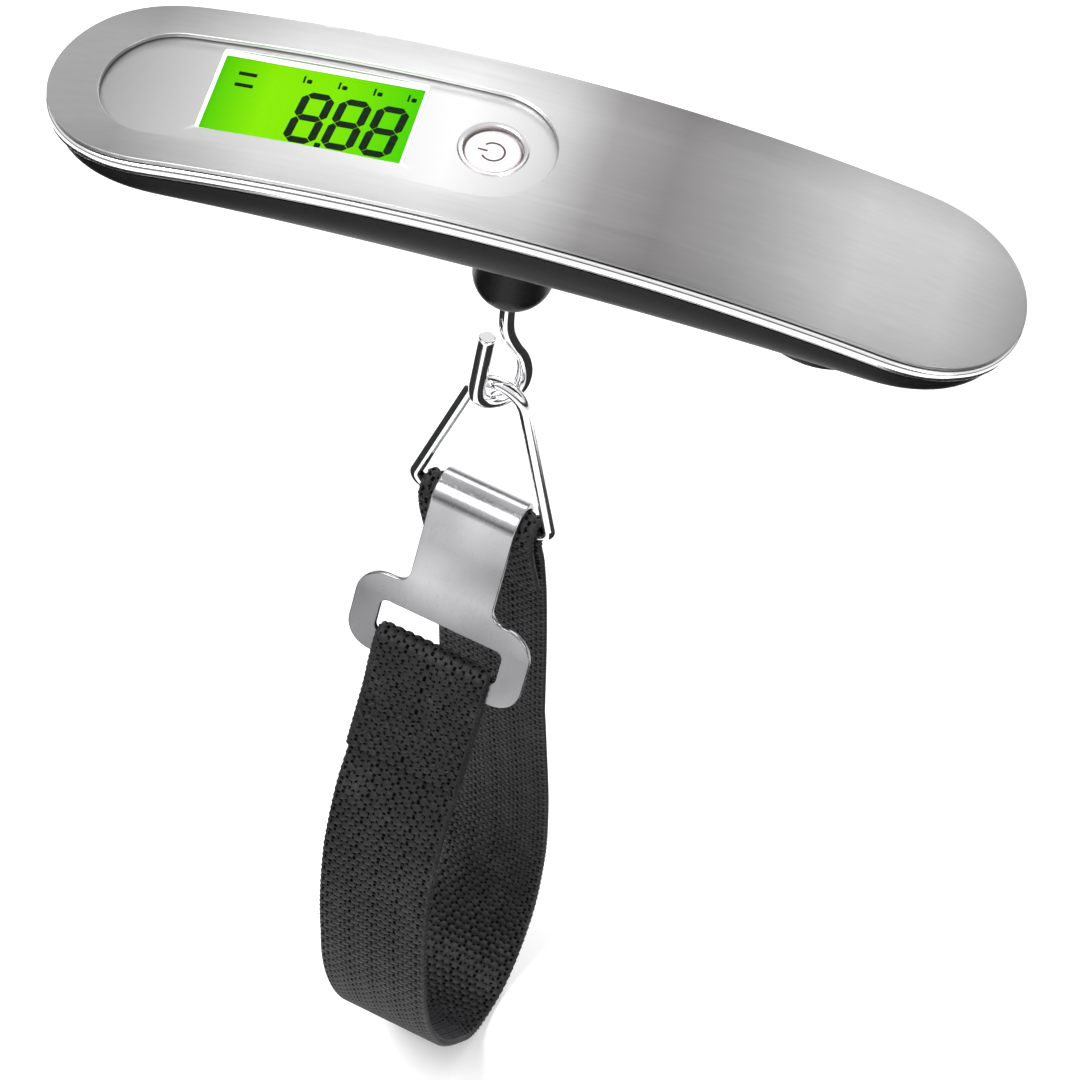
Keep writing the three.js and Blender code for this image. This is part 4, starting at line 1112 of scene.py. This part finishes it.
def stitches(name, spots):
    """Short thread stitches: each spot is (line point, outward way, across, heading along the line)."""
    verts, faces = [], []
    sides, parts = 8, 7
    for (front, up), (of, ou), along, lean in spots:
        run = Vector((-ou, of)) * math.cos(lean)
        start = len(verts)
        for i in range(parts):
            t = i / (parts - 1) - 0.5
            rise = 0.16 * (1 - (2 * t) ** 2) - 0.05
            step = t * STITCH_LONG
            centre = on_bar(front + run.x * step + of * rise, up + run.y * step + ou * rise,
                            along + math.sin(lean) * step)
            r = THREAD_R * math.sqrt(max(0.1, 1 - (2 * t) ** 4)) * MM
            side = (BAR_ALONG * math.cos(lean) - (BAR_FRONT * -ou + Vector((0, 0, of))) * math.sin(lean))
            outward = BAR_FRONT * of + Vector((0, 0, ou))
            verts += [centre + side * r * math.cos(TAU * j / sides) + outward * r * math.sin(TAU * j / sides)
                      for j in range(sides)]
        faces += [tuple(start + k for k in f) for f in capped(parts, sides)]
    return build(name, verts, faces, THREAD, "strap", smooth=80, weighted=False)


def row_of_stitches(line, place):
    """Spots for one row of zig-zag stitches across the strap, at this share of the line."""
    i = int(place * (len(line) - 2))
    run = np.array(line[i + 1]) - np.array(line[i])
    run /= np.linalg.norm(run)
    out = (-run[1], run[0])
    lift = STRAP_THICK / 2 + 0.06
    spot = (line[i][0] + out[0] * lift, line[i][1] + out[1] * lift)
    count = STITCHES_ACROSS
    half = STRAP_WIDTH / 2 - STITCH_MARGIN
    return [(spot, out, -half + 2 * half * k / (count - 1), (0.9 if k % 2 else -0.9)) for k in range(count)]


def make_strap():
    over = arc(0, 0, STRAP_BEND_R, -0.3, math.pi, 24)
    tail_points = [(-5.4, -22), (-3, -16), (-0.9, -10.5), (1.2, -4.6), over[0]]
    tail = smooth_line(tail_points, 0.26)
    layer = STRAP_THICK / 2 + 0.1
    loop = smooth_line([over[-1], (-STRAP_BEND_R, -3.4), *LOOP_ROUTE, plate_point(58, 0.4 - layer),
                        plate_point(JOIN_DOWN, 0.4 - layer)], 0.3)
    line = np.concatenate([tail[:-1], np.array(over), loop[1:]])
    line = smooth_pass(line, 3)
    webbing("webbing_loop", line, ["strap_loop"])
    back = smooth_line([plate_point(JOIN_DOWN - 0.1, 0.4 - layer), plate_point(42, -layer - 0.1),
                        plate_point(38, -STRAP_OFF_PLATE + 0.2), plate_point(35, -STRAP_OFF_PLATE)], 0.28)
    cx, cy = plate_point(PLATE_SLOT[1] + 0.3, 0)
    turn = arc(cx, cy, STRAP_OFF_PLATE, PLATE_TILT + math.pi, PLATE_TILT, 18)
    front = smooth_line([plate_point(35, STRAP_OFF_PLATE), plate_point(38, STRAP_OFF_PLATE - 0.2),
                         plate_point(42, layer + 0.1), plate_point(50, layer + 0.4),
                         plate_point(56, layer + 0.7)], 0.28)
    join_a = smooth_line([back[-1], turn[0]], 0.28)
    join_b = smooth_line([turn[-1], front[0]], 0.28)
    line = np.concatenate([back[:-1], join_a[:-1], np.array(turn), join_b[1:-1], front])
    line = smooth_pass(line, 3)
    webbing("webbing_fold", line, ["strap_fold"], fine=0.82)
    spots = []
    for place in (0.80, 0.86, 0.93):
        spots += row_of_stitches(line, place)
    stitches("fold_stitches", spots)
    spots = []
    for place in (0.1, 0.35, 0.6):
        spots += row_of_stitches(tail, place)
    stitches("tail_stitches", spots)


def smooth_pass(line, times):
    for _ in range(times):
        line[1:-1] = (line[:-2] + 2 * line[1:-1] + line[2:]) / 4
    return line


# ---- the CAD pieces that stay
def dress_frame():
    green = moulded("board_mask", (0.03, 0.16, 0.07), 0.35, grain=500)
    brass = metal("contact_brass", (0.78, 0.62, 0.30), 0.28)
    screw = metal("screw_steel", (0.62, 0.62, 0.63), 0.28)
    alloy = metal("beam_alloy", (0.74, 0.75, 0.76), 0.38)
    black = moulded("inner_black", (0.02, 0.02, 0.02), 0.5)
    white = moulded("diffuser", (0.8, 0.8, 0.78), 0.5)
    rubber = moulded("inner_rubber", (0.05, 0.05, 0.055), 0.7)
    glass = moulded("lcd_stack", (0.1, 0.4, 0.08), 0.2)
    looks = {"lcd_glass": glass, "backlight": white, "zebra_strip_1": rubber, "zebra_strip_2": rubber,
             "circuit_board": green, "controller_chip": black, "tact_switch": screw, "chassis": black,
             "load_cell": alloy, "strain_gauge_1": brass, "strain_gauge_2": brass, "cell_bracket": screw,
             "coin_cell": chrome("cell_can", 0.8, 0.2), "contact_negative": brass, "contact_positive": brass,
             "cover_seal": rubber, "hook_washer": screw, "hook_nut": screw}
    for name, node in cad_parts.items():
        look = looks.get(name, screw)
        if node.hide_render:
            continue
        node.data.materials.clear()
        node.data.materials.append(look)


bpy.context.scene.view_settings.view_transform = "Standard"
make_camera()
make_studio()
make_floor()
make_flags()
CLOTH = webbing_cloth()
# painted shade for the gaps between the cells: a near-black copy of the cloth
PAINTED_GAP_SHADE = moulded("webbing_gap_painted_shade", (0.0012, 0.0012, 0.0013), 0.9, grain=3000, shine=0.0)
THREAD = moulded("sewing_thread", (0.016, 0.016, 0.02), 0.5, grain=3000)
make_face()
make_rim()
make_panel()
make_display()
make_button()
make_shell()
make_battery_door()
make_collar()
make_hook()
make_ring()
make_plate()
make_strap()
dress_frame()
